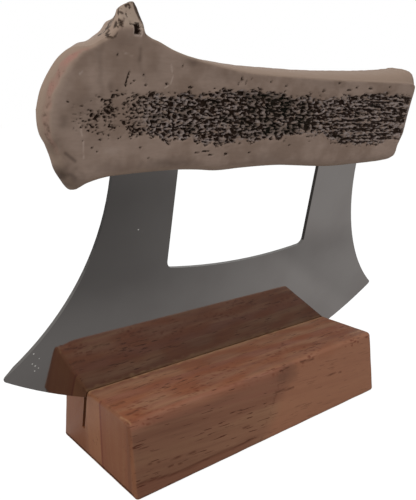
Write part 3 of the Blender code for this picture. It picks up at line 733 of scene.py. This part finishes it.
def under_wall(stations, low, front, back, slots):
    """The underside: from the front's first row to the back's. Its middle rows rise into the mortises.

    Also tells which rows lie beside a mortise.
    """
    slot_front, slot_back = -mortise_half - hair, mortise_half + hair
    before = front + (np.arange(1, 5) / 5)[None] * (slot_front - front)
    after = slot_back + (np.arange(4) / 4)[None] * (back - slot_back)
    middle = np.broadcast_to((slot_front, -mortise_half, 0.0, mortise_half), (len(stations), 4))
    across = np.hstack((before, middle, after))
    up = np.repeat(low[:, None], across.shape[1], axis=1)
    inside = [(stations > slot[0] + hair / 2) & (stations < slot[1] - hair / 2) for slot in slots]
    up[np.any(inside, axis=0), 5:8] = mortise_roof
    return across, up, (np.arange(across.shape[1]) > 3) & (np.arange(across.shape[1]) < 9)


def handle_surface(sizes):
    """The antler slab as one closed surface, a ring of places round each station along it.

    A ring runs up the front, over the top, down the back and under. The front and the back are
    height fields: half the thickness less the rim's fall and less the depth of pores and cuts.
    Under the handle the ring's middle rows rise into a mortise wherever a tang goes in.
    """
    upper, lower = handle_outline(sizes)
    end = crowded_steps(end_stations) * end_reach * MM
    first, last, fine = upper[0, 0], upper[-1, 0], fine_reach * MM
    crown_end = -sizes.length / 2 - handle_setback
    slots = [sorted(side * reach - crown_end for reach in (mortise_inner, mortise_outer))
             for side in (-1, 1)]
    slot_ends = [place + shift for slot in slots for place, shift in zip(slot, (hair, -hair))]
    stations = np.unique(np.concatenate((
        first + end[:-1], np.arange(first + end[-1], fine, fine_step * MM),
        np.linspace(fine, last - end[-1], long_stations), (last - end[:-1])[::-1], np.ravel(slots),
        slot_ends)))
    high, low = (np.interp(stations, *curve.T) for curve in (upper, lower))
    high[[0, -1]] = low[[0, -1]] = upper[[0, -1], 1]
    outline = np.vstack((upper, lower[::-1]))[::3]
    half, rim = sizes.thickness / 2, crown_rim * MM
    front_top = np.interp(stations, (12 * MM, 18 * MM), (rim, top_band * MM))
    ring = []
    for sign, skin, top, rows in (
            (-1, front_skin, front_top, front_rows), (1, back_skin, rim, back_rows)):
        up = rows_between(low, high, rim, top, *rows)
        along = np.repeat(stations[:, None], up.shape[1], axis=1)
        inset = distance_to_curve(along, up, outline) / MM
        x, z, inner = along / MM, up / MM, climb(inset, 0.3, 1.1)
        width, depth, marks, tints = skin(x, z, inset, inner, sizes)
        depth = depth + rim_fall(inset, width) + 0.08 * ripples(x / 9, z / 6, 91) * inner
        ring.append((along, sign * (half - depth * MM), up, marks, tints, False))
    front, back = ring[0][1], ring[1][1]
    across, up, beside_slot = under_wall(stations, low, front[:, :1], back[:, :1], slots)
    over, over_up, bark = top_wall(stations, high, front[:, -1:], back[:, -1:], sizes)
    over[[0, -1]], over_up[[0, -1]] = across[[0, -1]], up[[0, -1]]
    for across, up, bark, beside in ((over, over_up, bark, False), (across, up, 0.0, beside_slot)):
        along = np.repeat(stations[:, None], across.shape[1], axis=1)
        skins = wall_skin(along / MM, across / MM, up / MM, last / MM, half / MM, bark)
        ring.append((along, across, up, *skins, beside))
    order = [(ring[0], 1), (ring[2], 1), (ring[1], -1), (ring[3], -1)]
    along, across, up, marks, tints = (
        np.concatenate([part[k][:, ::way] for part, way in order], axis=1) for k in range(5))
    beside = np.concatenate([(np.zeros(part[0].shape[1]) + part[5])[::way] for part, way in order])
    x, y, z = shape_crown(along, across, up, half, beside)
    places = knife_to_world(x + crown_end, y, z + window_top)
    return places, grid_faces(*along.shape, True), {"marks": marks, "tints": tints}


def antler(sizes):
    """Antler, sawn and sanded: fine greyish bone with a matt sheen, and a dark core that shows as pits."""
    material, add, shader = new_material("sanded antler")
    spot = add("TexCoord", {}).outputs["Object"]
    open_pore, stain_and_shade, strut, skin = painted(add, "marks")
    bark, red, crest, broad_pit = painted(add, "tints")
    broad = add("TexNoise", {}, spot, 0.11 / MM, 3.0, 0.55)
    lengthwise = add("Mapping", {}, spot, Scale=(0.22, 1.0, 1.0))
    fibre = add("TexNoise", {}, lengthwise, 1.5 / MM, 3.0, 0.6)
    fine = add("TexNoise", {}, spot, 2.6 / MM, 3.0, 0.6)
    ragged_bark = add("Math", PLUS, bark, add("MapRange", {}, fine, 0.3, 0.7, -0.15, 0.15))
    ragged = add("Math", TIMES, open_pore, add("Math", LESS, 1.0, open_pore))
    ragged = add("Math", TIMES_PLUS, ragged, 1.6, 0.15)
    ragged = add("Math", TIMES, ragged, add("MapRange", {}, fine, 0.3, 0.7, -1.0, 1.0))
    ragged = add("Math", PLUS, open_pore, ragged)
    void = add("Mix", BLEND, broad_pit, sizes.pore[:], linear("16150d"))
    base = coated(
        add, sizes.face[:],
        (EASE, broad, (0.38, 0.62), linear("7d6a5e")),
        (EASE, fibre, (0.35, 0.75, 0.0, 0.16), linear("645347")),
        (EASE, skin, (0.25, 0.75), sizes.skin[:]),
        ({}, stain_and_shade, (0.5, 0.0), linear("a3948a")),
        # the darker side holds stains and painted shade along the lower edge
        ({}, stain_and_shade, (0.5, 1.0), linear("3f322b")),
        ({}, red, (), linear("8e6b60")),
        ({}, crest, (), linear("8a7a6c")),
        ({}, strut, (0.0, 1.0, 0.0, 0.75), sizes.strut[:]),
        (EASE, ragged_bark, (0.15, 0.95), linear("33261d")),
        ({}, broad_pit, (0.0, 1.0, 0.0, 0.4), linear("34302a")),
        (EASE, ragged, (0.18, 0.80), void))
    height = add("Math", PLUS, fibre, add("Math", TIMES, fine, 0.5))
    bump = add("Bump", {}, 0.30, 0.08 * MM, Height=height)
    fill(shader, Base_Color=base, Roughness=0.62, Specular_IOR_Level=0.06, Normal=bump)
    return material


def polished_steel(sizes):
    """Stainless steel, ground and polished: its faces mirror the block and the table, and its cut
    edges stay dull."""
    material, add, shader = new_material("polished stainless steel")
    spot = add("TexCoord", {}).outputs["Object"]
    own = add("Mapping", {"vector_type": "POINT"}, spot, None, (-kerf_lean, 0, 0))
    cloud = add("TexNoise", {}, own, 0.045 / MM, 3.0)
    lines = add("Mapping", {}, own, Scale=(0.03, 1.0, 1.0))
    brushed = add("TexNoise", {}, lines, 1 / sizes.brushing, 2.0)
    normal = add("NewGeometry", {}).outputs["Normal"]
    turned = add("VectorRotate", {"rotation_type": "X_AXIS"}, normal, Angle=-kerf_lean)
    across = add("SeparateXYZ", {}, turned).outputs
    side = add("MapRange", EASE, add("Math", SIZE, across[1]), 0.5, 0.8, 1.0, 0.0)
    # dark cut edges; a painted highlight makes them paler where they face up
    cut_edge = coated(add, sizes.edge[:], (EASE, across[2], (0.25, 0.60), linear("625f5c")))
    nick = 0.0
    for u, h, half_width in steel_nicks:
        place = knife_to_world(u * MM, -blade_thickness / 2, h * MM).tolist()
        reach = add("VectorMath", {"operation": "DISTANCE"}, spot, place).outputs["Value"]
        glint = add("MapRange", EASE, reach, half_width * MM, 0.4 * half_width * MM)
        nick = add("Math", MOST, glint, nick)
    base = coated(
        add, sizes.steel[:],
        (EASE, cloud, (0.35, 0.7), sizes.haze[:]),
        ({}, side, (), cut_edge),
        ({}, nick, (), linear("b9b6b1")))
    rough = add("MapRange", {}, cloud, 0.3, 0.7, 0.042, 0.052)
    rough = add("Math", PLUS, rough, add("Math", TIMES, side, 0.3))
    bump = add("Bump", {}, 0.01, 0.02 * MM, Height=brushed)
    metal = add("Math", LESS, 1.0, nick)
    fill(shader, Base_Color=base, Metallic=metal, Roughness=rough, Normal=bump)
    return material


def oiled_hardwood(sizes):
    """A reddish tropical hardwood, planed and oiled: a soft sheen, open dark pores along the grain."""
    material, add, shader = new_material("oiled reddish hardwood")
    spot = add("TexCoord", {}).outputs["Object"]
    dashes, lip, calm_patch, painted_shade_and_spot = painted(add, "marks")
    rust, chips, end_grain, red_foot = painted(add, "tints")
    calm = add("Math", MOST, calm_patch, add("Math", TIMES, end_grain, 0.75))
    lively = add("Math", LESS, 1.0, add("Math", TIMES, calm, 0.8))
    tilt = (0.0, math.radians(-4.5), math.radians(1.0))
    tilted = add("Mapping", {"vector_type": "POINT"}, spot, None, tilt)
    slow = add("Mapping", {}, tilted, Scale=(0.12, 1.0, 1.0))
    wander = add("TexNoise", {}, slow, 0.055 / MM, 2.0).outputs["Color"]
    bent = add("VectorMath", TIMES_PLUS, wander, (0.0, 7 * MM, 3 * MM), tilted)
    depth = add("SeparateXYZ", {}, bent).outputs[1]
    ring = add("TexNoise", {"noise_dimensions": "1D"}, depth, 1 / sizes.ring_width, 4.0, 0.62)
    grain = add("Mapping", {}, bent, Scale=(0.05, 1.0, 1.0))
    streak = add("TexNoise", {}, grain, 1.3 / MM, 3.0, 0.6)
    soft = add("TexNoise", {}, grain, 0.26 / MM, 3.0)
    patch = add("TexNoise", {}, slow, 0.09 / MM, 3.0)
    deeper = add("Math", TIMES, add("MapRange", EASE, soft, 0.45, 0.72, 0.0, 0.55), lively)
    fine = add("Math", TIMES, add("MapRange", EASE, streak, 0.46, 0.80, 0.0, 0.50), lively)
    base = coated(
        add, sizes.heart[:],
        (EASE, ring, (0.40, 0.58), sizes.pale[:]),
        (EASE, patch, (0.42, 0.66, 0.0, 0.45), linear("754a37")),
        ({}, calm_patch, (), linear("865a42")),
        ({}, rust, (0.0, 1.0, 0.0, 0.70), linear("7a4327")),
        ({}, deeper, (), linear("6a3e2c")),
        ({}, fine, (), linear("573222")),
        # painted shade on the front's left part and the end, and the brown spot
        ({}, painted_shade_and_spot, (), linear("5c3c2c")),
        # the end's own end-grain colour, darkened further as painted shade
        ({}, end_grain, (0.0, 1.0, 0.0, 0.5), linear("6b3d22")),
        ({}, red_foot, (), linear("5f3022")))
    place = add("SeparateXYZ", {}, spot).outputs
    across = add("Math", TIMES_PLUS, place[2], -0.029, place[1])
    for middle, half_width, fade, strength, code in end_layers:
        reach = add("Math", SIZE, add("Math", LESS, across, middle * MM))
        span = (half_width * MM, (half_width + fade) * MM, strength, 0.0)
        layer = add("Math", TIMES, add("MapRange", EASE, reach, *span), end_grain)
        base = coated(add, base, ({}, layer, (), linear(code)))
    one_pore = (1 / sizes.pore_length, 1 / sizes.pore_width, 1 / sizes.pore_width)
    pores = add("TexNoise", {}, add("Mapping", {}, bent, Scale=one_pore), 1.0, 1.0, 0.5)
    groups = add("Mapping", {}, tilted, Scale=(0.45, 1.0, 1.0))
    groups = add("TexNoise", {}, groups, 0.13 / MM, 2.0)
    lot = add("Math", PLUS, pores, add("MapRange", {}, groups, 0.3, 0.7, -0.07, 0.07))
    dark = add("Math", TIMES, add("MapRange", EASE, lot, 0.66, 0.72), lively)
    dark = add("Math", MOST, dark, dashes)
    base = coated(
        add, base,
        ({}, chips, (0.0, 1.0, 0.0, 0.85), linear("5c2814")),
        ({}, dark, (), sizes.pore[:]),
        ({}, lip, (), sizes.lip[:]))
    height = add("Math", LESS, add("Math", TIMES, streak, 0.3), dark)
    bump = add("Bump", {}, 0.35, 0.15 * MM, Height=height)
    fill(shader, Base_Color=base, Roughness=0.55, Specular_IOR_Level=0.20, Normal=bump)
    return material


def set_resin():
    """Epoxy resin, cast and set: clear amber with a gloss."""
    material, add, shader = new_material("set epoxy resin")
    cloud = add("TexNoise", {}, add("TexCoord", {}).outputs["Object"], 0.3 / MM, 2.0)
    base = coated(add, linear("9c8350"), (EASE, cloud, (0.35, 0.7), linear("b3995f")))
    fill(shader, Base_Color=base, Roughness=0.3, IOR=1.55)
    return material


def rounded_corner(before, corner, after, radius, steps):
    """The points of an arc that rounds a corner, and the outward normals there."""
    towards, away = before - corner, after - corner
    towards, away = towards / np.linalg.norm(towards), away / np.linalg.norm(away)
    half_angle = math.acos(np.clip(towards @ away, -1, 1)) / 2
    centre = corner + (towards + away) / np.linalg.norm(towards + away) * radius / math.sin(half_angle)
    start, end = (corner + way * radius / math.tan(half_angle) for way in (towards, away))
    share = np.arange(steps + 1)[:, None] / steps
    chord = start + share * (end - start) - centre
    normals = chord / np.linalg.norm(chord, axis=1)[:, None]
    bulges = (start - centre) @ (corner - centre) > 0
    return centre + normals * radius, normals if bulges else -normals


def block_section(sizes):
    """The block's outline across its length, with the kerf in it: places, and the way each one moves
    when the ends are rounded. In the kerf only its top 3 mm move, straight down."""
    lean = np.array((-math.sin(kerf_lean), math.cos(kerf_lean)))
    side = np.array((math.cos(kerf_lean), math.sin(kerf_lean)))
    height, base, top = block_high.z, block_base_width / 2, block_top_width / 2
    mouth = np.array((kerf_setback, height))
    rear, fore = mouth + side * kerf_width / 2, mouth - side * (blade_thickness / 2 + face_gap)
    rear_top, fore_top = (wall + lean * (height - wall[1]) / lean[1] for wall in (rear, fore))
    corners = np.array((
        (-base, 0.0), (base, 0.0), (top, height), rear_top, rear - lean * kerf_depth,
        fore - lean * kerf_depth, fore_top, (-top, height)))
    foot, edge, lip = (sizes.foot_radius, 8), (sizes.edge_radius, 8), (sizes.lip_radius, 4)
    bottom = (kerf_fillet, 2)
    arcs = []
    for k, (radius, steps) in enumerate((foot, foot, edge, lip, bottom, bottom, lip, edge)):
        arc, normals = rounded_corner(corners[k - 1], corners[k], corners[(k + 1) % 8], radius, steps)
        if 3 <= k <= 6:
            normals = np.array(((0.0, 1.0),)) * np.clip((arc[:, 1:] - height) / (3 * MM) + 1, 0, 1)
        arcs.append(np.hstack((arc, normals)))
    ring = []
    for arc, following in zip(arcs, arcs[1:] + arcs[:1]):
        count = max(int(np.linalg.norm(following[0, :2] - arc[-1, :2]) / (0.5 * MM)), 1)
        share = (np.arange(1, count) / count)[:, None]
        ring += [arc, arc[-1] + share * (following[0] - arc[-1])]
    return np.hsplit(np.vstack(ring), 2)


def block_marks(x, y, z):
    """Marks on the block, in millimetres, as two layers of four.

    The first holds dark dashes and a wavy seam, the pale lip of the kerf, the calm patch right of
    the seam, and painted shade over the front's left part and the end, with the brown spot in the
    same layer. The second holds the rusty wood along the top, its dark chips, the end grain, whose
    darker colour is partly painted shade, and the redder wood along the foot.
    """
    front = climb(y, -15, -16.5)
    end = climb(abs(x) - block_high.x / MM, -0.9, -0.4)
    edge = np.interp(z, seam_heights, seam_along) + 0.5 * ripples(z / 2.2, x / 9, 111)
    dark = 0.50 * climb(abs(x - edge), 0.45, 0) * front * patches(z / 2, x / 3, 112, 0.55, 1)
    for dashes, up, shown in ((wood_dashes, z + 0.1 * ripples(x, z, 113), front),
                              (top_dashes, y + 0.2 * ripples(x / 0.8, y, 121), climb(z, 20, 21))):
        for *places, half_width in dashes:
            dash = groove(x, up, np.reshape(places, (2, 2)), half_width)
            dark = np.maximum(dark, 0.85 * dash * shown)
    foot = z - 2.8 - 1.6 * climb(x, -36, -50) - 0.3 * ripples(x / 9, z / 9, 117)
    left_foot = front * (1 - end) * climb(edge - x, 0, 8)
    dark = np.maximum(dark, 0.9 * climb(abs(foot), 0.5, 0) * left_foot)
    lip_y = y - kerf_setback / MM + 0.65
    lip = climb(lip_y + 0.9 * ripples(x / 2.3, y, 114), -1.6, -0.4) * climb(lip_y, 0.09, -0.06)
    lip = lip * climb(z - block_high.z / MM, -0.7, -0.3) * patches(x / 2.8, y / 0.5, 115, 0.6, 0.9)
    splinter = groove(x, y, splinter_places, 0.45) * climb(z, 19.5, 20.5)
    lip = np.maximum(lip, 0.6 * splinter * patches(x / 0.5, y / 0.9, 123, 0.7, 1.2))
    patch = climb(x - edge, -1, 6) * front * (1 - end)
    brown = oval(x, z, *brown_spot) + 0.3 * ripples(x / 2, z / 1.5, 122)
    left = front * (1 - patch) * climb(z, 20.5, 17.5) * (1 - end)
    top = climb(z, 17.5, 20) * (1 - end)
    rust = top * patches(x / 11, (z + y) / 4, 118, 0.5, 0.9) * (1 - 0.6 * climb(y, -16, -17.5))
    chips = climb(ripples(x / 1.7, (y + z) / 0.6, 116), 0.26, 0.46) * climb(y, -5, -9)
    chips = chips * patches(x / 13, (y + z) / 5, 119, 0.3, 1.2) * climb(x, -49, -46) * top
    # painted shade over the front's left part, deeper towards the crown end, and on the end; plus the brown
    # spot
    painted_shade_and_spot = (0.32 + 0.34 * climb(x, 2, -43)) * left + 0.45 * end + 0.50 * climb(brown, 1.4, 0.4) * front
    red_foot = 0.40 * climb(foot, 0.4, -0.2) * left_foot
    return {"marks": stacked(np.clip(dark, 0, 1), lip, 0.85 * patch, np.clip(painted_shade_and_spot, 0, 1)),
            "tints": stacked(rust, chips, end, red_foot)}


def block_surface(sizes):
    """The hardwood block as one closed surface: its section carried along its length.

    Towards each end the section draws in along its own normals on a quarter circle, which rounds
    the end's edges, and a flat cap closes it. The ends of the base also rise, on a flat ellipse.
    Handling has worn the long edges unevenly, and a chip is gone by the crown end's front corner.
    """
    section, pull = block_section(sizes)
    half = (block_high.x - block_low.x) / 2
    radius = 0.8 * sizes.edge_radius
    turn = (np.arange(9) / 8 * math.pi / 2)[:, None]
    near = half - radius * (1 - np.sin(turn))
    middle = (half - radius) * np.linspace(-1, 1, 206)[1:-1, None]
    along = np.repeat(np.concatenate((-near[::-1], middle, near)), len(section), axis=1)
    drawn = radius * (1 - np.cos(turn))
    drawn = np.concatenate((drawn[::-1], np.zeros(middle.shape), drawn))
    x, y, z = along / MM, section[None, :, 0] / MM, section[None, :, 1] / MM
    outer = np.linalg.norm(pull, axis=1)[None] > 0.99
    worn = np.maximum(0.10 * ripples(x / 7, (y + z) / 5, 101), -0.05) * 0.6 * outer
    away = sum(((place - middle) / reach) ** 2 for place, middle, reach in zip(
        (x + half / MM, y, z), corner_chip, chip_half))
    chip = chip_depth * np.exp(-away) * (1 + 0.4 * ripples(x / 1.1, y / 1.1, 102))
    inset = drawn + (worn + chip) * MM
    back, up = (section[None, :, k] - pull[None, :, k] * inset for k in (0, 1))
    up = np.maximum(up, block_low.z)
    near_end = np.clip((np.abs(along) - half) / foot_run + 1, 0, 1)
    rise = foot_rise * (1 - np.sqrt(1 - near_end ** 2))
    up = up + rise * np.clip(1 - up / foot_fade, 0, 1)
    places = np.stack((along, back, up), axis=-1)
    count, last = len(section), (len(along) - 1) * len(section)
    faces = grid_faces(*along.shape, True).tolist()
    faces += [list(range(count)), list(range(last, last + count))]
    return places, faces, block_marks(along / MM, back / MM, up / MM)


class ULU_OT_handle(bpy.types.Operator):
    """Make the antler handle, with its spongy core as real pits."""

    bl_idname = "ulu.handle"
    bl_label = "Antler handle"

    def execute(self, context):
        sizes = context.scene.ulu_handle
        places, faces, layers = handle_surface(sizes)
        piece = add_piece("antler_slab", places, faces, layers, weld=0.002 * MM)
        piece.data.set_sharp_from_angle(angle=math.radians(80))
        dress(piece, antler(sizes))
        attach(piece, "knife")
        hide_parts("antler_handle")
        return {"FINISHED"}


class ULU_OT_blade(bpy.types.Operator):
    """Polish the blade."""

    bl_idname = "ulu.blade"
    bl_label = "Polished blade"

    def execute(self, context):
        dress(frame["nodes"]["blade"], polished_steel(context.scene.ulu_blade))
        return {"FINISHED"}


class ULU_OT_resin(bpy.types.Operator):
    """Finish the resin beds inside the handle."""

    bl_idname = "ulu.resin"
    bl_label = "Resin beds"

    def execute(self, context):
        material = set_resin()
        for label in ("left", "right"):
            dress(frame["nodes"][label + "_tang_epoxy"], material)
        return {"FINISHED"}


class ULU_OT_block(bpy.types.Operator):
    """Make the hardwood block."""

    bl_idname = "ulu.block"
    bl_label = "Hardwood block"

    def execute(self, context):
        sizes = context.scene.ulu_block
        places, faces, layers = block_surface(sizes)
        piece = add_piece("hardwood_block", places, faces, layers)
        piece.data.set_sharp_from_angle(angle=math.radians(50))
        dress(piece, oiled_hardwood(sizes))
        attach(piece, "stand")
        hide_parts("stand_block")
        return {"FINISHED"}


def seen_plain(add, plain, lit, share):
    """Show a plain surface to the camera and in mirrors, with some of the lit one and its shadow."""
    path = add("LightPath", {}).outputs
    seen = add("Math", MOST, path["Is Camera Ray"], path["Is Glossy Ray"])
    seen = add("Math", MOST, seen, path["Is Transmission Ray"])
    return add("MixShader", {}, add("Math", TIMES, seen, share), lit, plain)


def stage_plane(name, finish, low, high, height):
    """A level plane of the stage, from one corner to the other, with an empty material."""
    bpy.ops.mesh.primitive_plane_add(size=1.0, location=(0, 0, 0))
    plane = bpy.context.object
    plane.name = name
    for vertex in plane.data.vertices:
        vertex.co.x = high[0] if vertex.co.x > 0 else low[0]
        vertex.co.y = high[1] if vertex.co.y > 0 else low[1]
        vertex.co.z = height
    material, add, shader = new_material(finish)
    material.node_tree.nodes.remove(shader)
    dress(plane, material)
    return plane, add, material.node_tree.nodes["Material Output"]


def stage_floor(sizes):
    """A plain pale floor that keeps a faint shadow."""
    reach = sizes.floor_width / 2
    floor, add, output = stage_plane(
        "floor", "white paper sweep", (-reach, -reach), (reach, reach), -0.1 * MM)
    lit = add("BsdfDiffuse", {}, sizes.floor[:])
    plain = add("Emission", {}, (1.0, 1.0, 1.0), 1.2)
    fill(output, Surface=seen_plain(add, plain, lit, 0.78))


def stage_card():
    """A glowing card in front of the knife, no lamp, which only the polished steel mirrors: it paints the
    dim reflection that the steel shows.

    It brightens along the knife and a little towards it, and has two darker patches.
    """
    card, add, output = stage_plane("glowing_reflection_card", "glowing reflection card", (-0.9, -1.4), (0.9, 0.02), 0.2 * MM)
    for ray in ("camera", "diffuse", "transmission", "volume_scatter", "shadow"):
        setattr(card, "visible_" + ray, False)
    spot = add("SeparateXYZ", {}, add("TexCoord", {}).outputs["Object"]).outputs
    level = add("MapRange", EASE, spot[0], -0.02, 0.16, 0.17, 0.42)
    level = add("Math", PLUS, level, add("MapRange", EASE, spot[1], -0.075, -0.035, 0.0, 0.08))
    for along, across, strength in card_patches:
        patch = add("MapRange", EASE, spot[1], *across, 0.0, strength)
        patch = add("Math", TIMES, patch, add("MapRange", EASE, spot[0], *along))
        level = add("Math", TIMES, level, add("Math", LESS, 1.0, patch))
    # the card's glow is a painted reflection: it lights nothing, and only the steel's mirror sees it
    fill(output, Surface=add("Emission", {}, (1.0, 0.94, 0.91), level))


def add_lamp(name, place, width, power):
    """A soft square lamp that looks at the knife's middle."""
    lamp = bpy.data.lights.new(name, "AREA")
    lamp.size = width
    lamp.energy = power
    thing = bpy.data.objects.new(name, lamp)
    bpy.context.scene.collection.objects.link(thing)
    thing.location = place
    thing.rotation_euler = (lamp_target - Vector(place)).to_track_quat("-Z", "Y").to_euler()


class ULU_OT_stage(bpy.types.Operator):
    """Set the floor, the lights and the camera."""

    bl_idname = "ulu.stage"
    bl_label = "Stage"

    def execute(self, context):
        sizes = context.scene.ulu_stage
        stage_floor(sizes)
        stage_card()
        for lamp in lamps:
            add_lamp(*lamp)
        world = bpy.data.worlds.new("studio")
        world.use_nodes = True
        nodes = world.node_tree.nodes
        add = partial(add_node, world.node_tree)
        fill(nodes["Background"], Color=(1.0, 1.0, 1.0), Strength=0.55)
        plain = add("Background", {}, (1.0, 1.0, 1.0), 1.0)
        fill(nodes["World Output"], Surface=seen_plain(add, plain, nodes["Background"], 1.0))
        context.scene.world = world
        lens = bpy.data.cameras.new("camera")
        lens.lens, lens.sensor_width = sizes.lens, sizes.sensor
        lens.clip_start = 0.01
        camera = bpy.data.objects.new("camera", lens)
        context.scene.collection.objects.link(camera)
        camera.location = camera_place
        azimuth, elevation, roll = (math.radians(angle) for angle in camera_angles)
        turn = Matrix.Rotation(-azimuth, 3, "Z") @ Matrix.Rotation(math.pi / 2 + elevation, 3, "X")
        camera.rotation_euler = (turn @ Matrix.Rotation(roll, 3, "Z")).to_euler()
        context.scene.camera = camera
        context.scene.view_settings.view_transform = "Standard"
        return {"FINISHED"}


class ULU_PT_panel(bpy.types.Panel):
    """Lists the pieces of the ulu knife."""

    bl_label = "Ulu knife"
    bl_space_type = "VIEW_3D"
    bl_region_type = "UI"
    bl_category = "Ulu"

    def draw(self, context):
        for operator in operators:
            self.layout.operator(operator.bl_idname)
        for name in groups:
            box = self.layout.box()
            for key in getattr(context.scene, name).bl_rna.properties.keys():
                if key not in ("rna_type", "name"):
                    box.prop(getattr(context.scene, name), key)


groups = {
    "ulu_handle": HandleSettings, "ulu_blade": BladeSettings, "ulu_block": BlockSettings,
    "ulu_stage": StageSettings}
operators = (ULU_OT_block, ULU_OT_blade, ULU_OT_resin, ULU_OT_handle, ULU_OT_stage)


def register():
    """Register the classes and hang the settings on the scene."""
    for item in (*groups.values(), *operators, ULU_PT_panel):
        bpy.utils.register_class(item)
    for name, group in groups.items():
        setattr(bpy.types.Scene, name, bpy.props.PointerProperty(type=group))


def unregister():
    """Take the settings and the classes away again."""
    for name in groups:
        delattr(bpy.types.Scene, name)
    for item in reversed((*groups.values(), *operators, ULU_PT_panel)):
        bpy.utils.unregister_class(item)


def main():
    """Make every piece and the stage."""
    register()
    for operator in operators:
        family, name = operator.bl_idname.split(".")
        getattr(getattr(bpy.ops, family), name)()


if __name__ == "__main__":
    main()
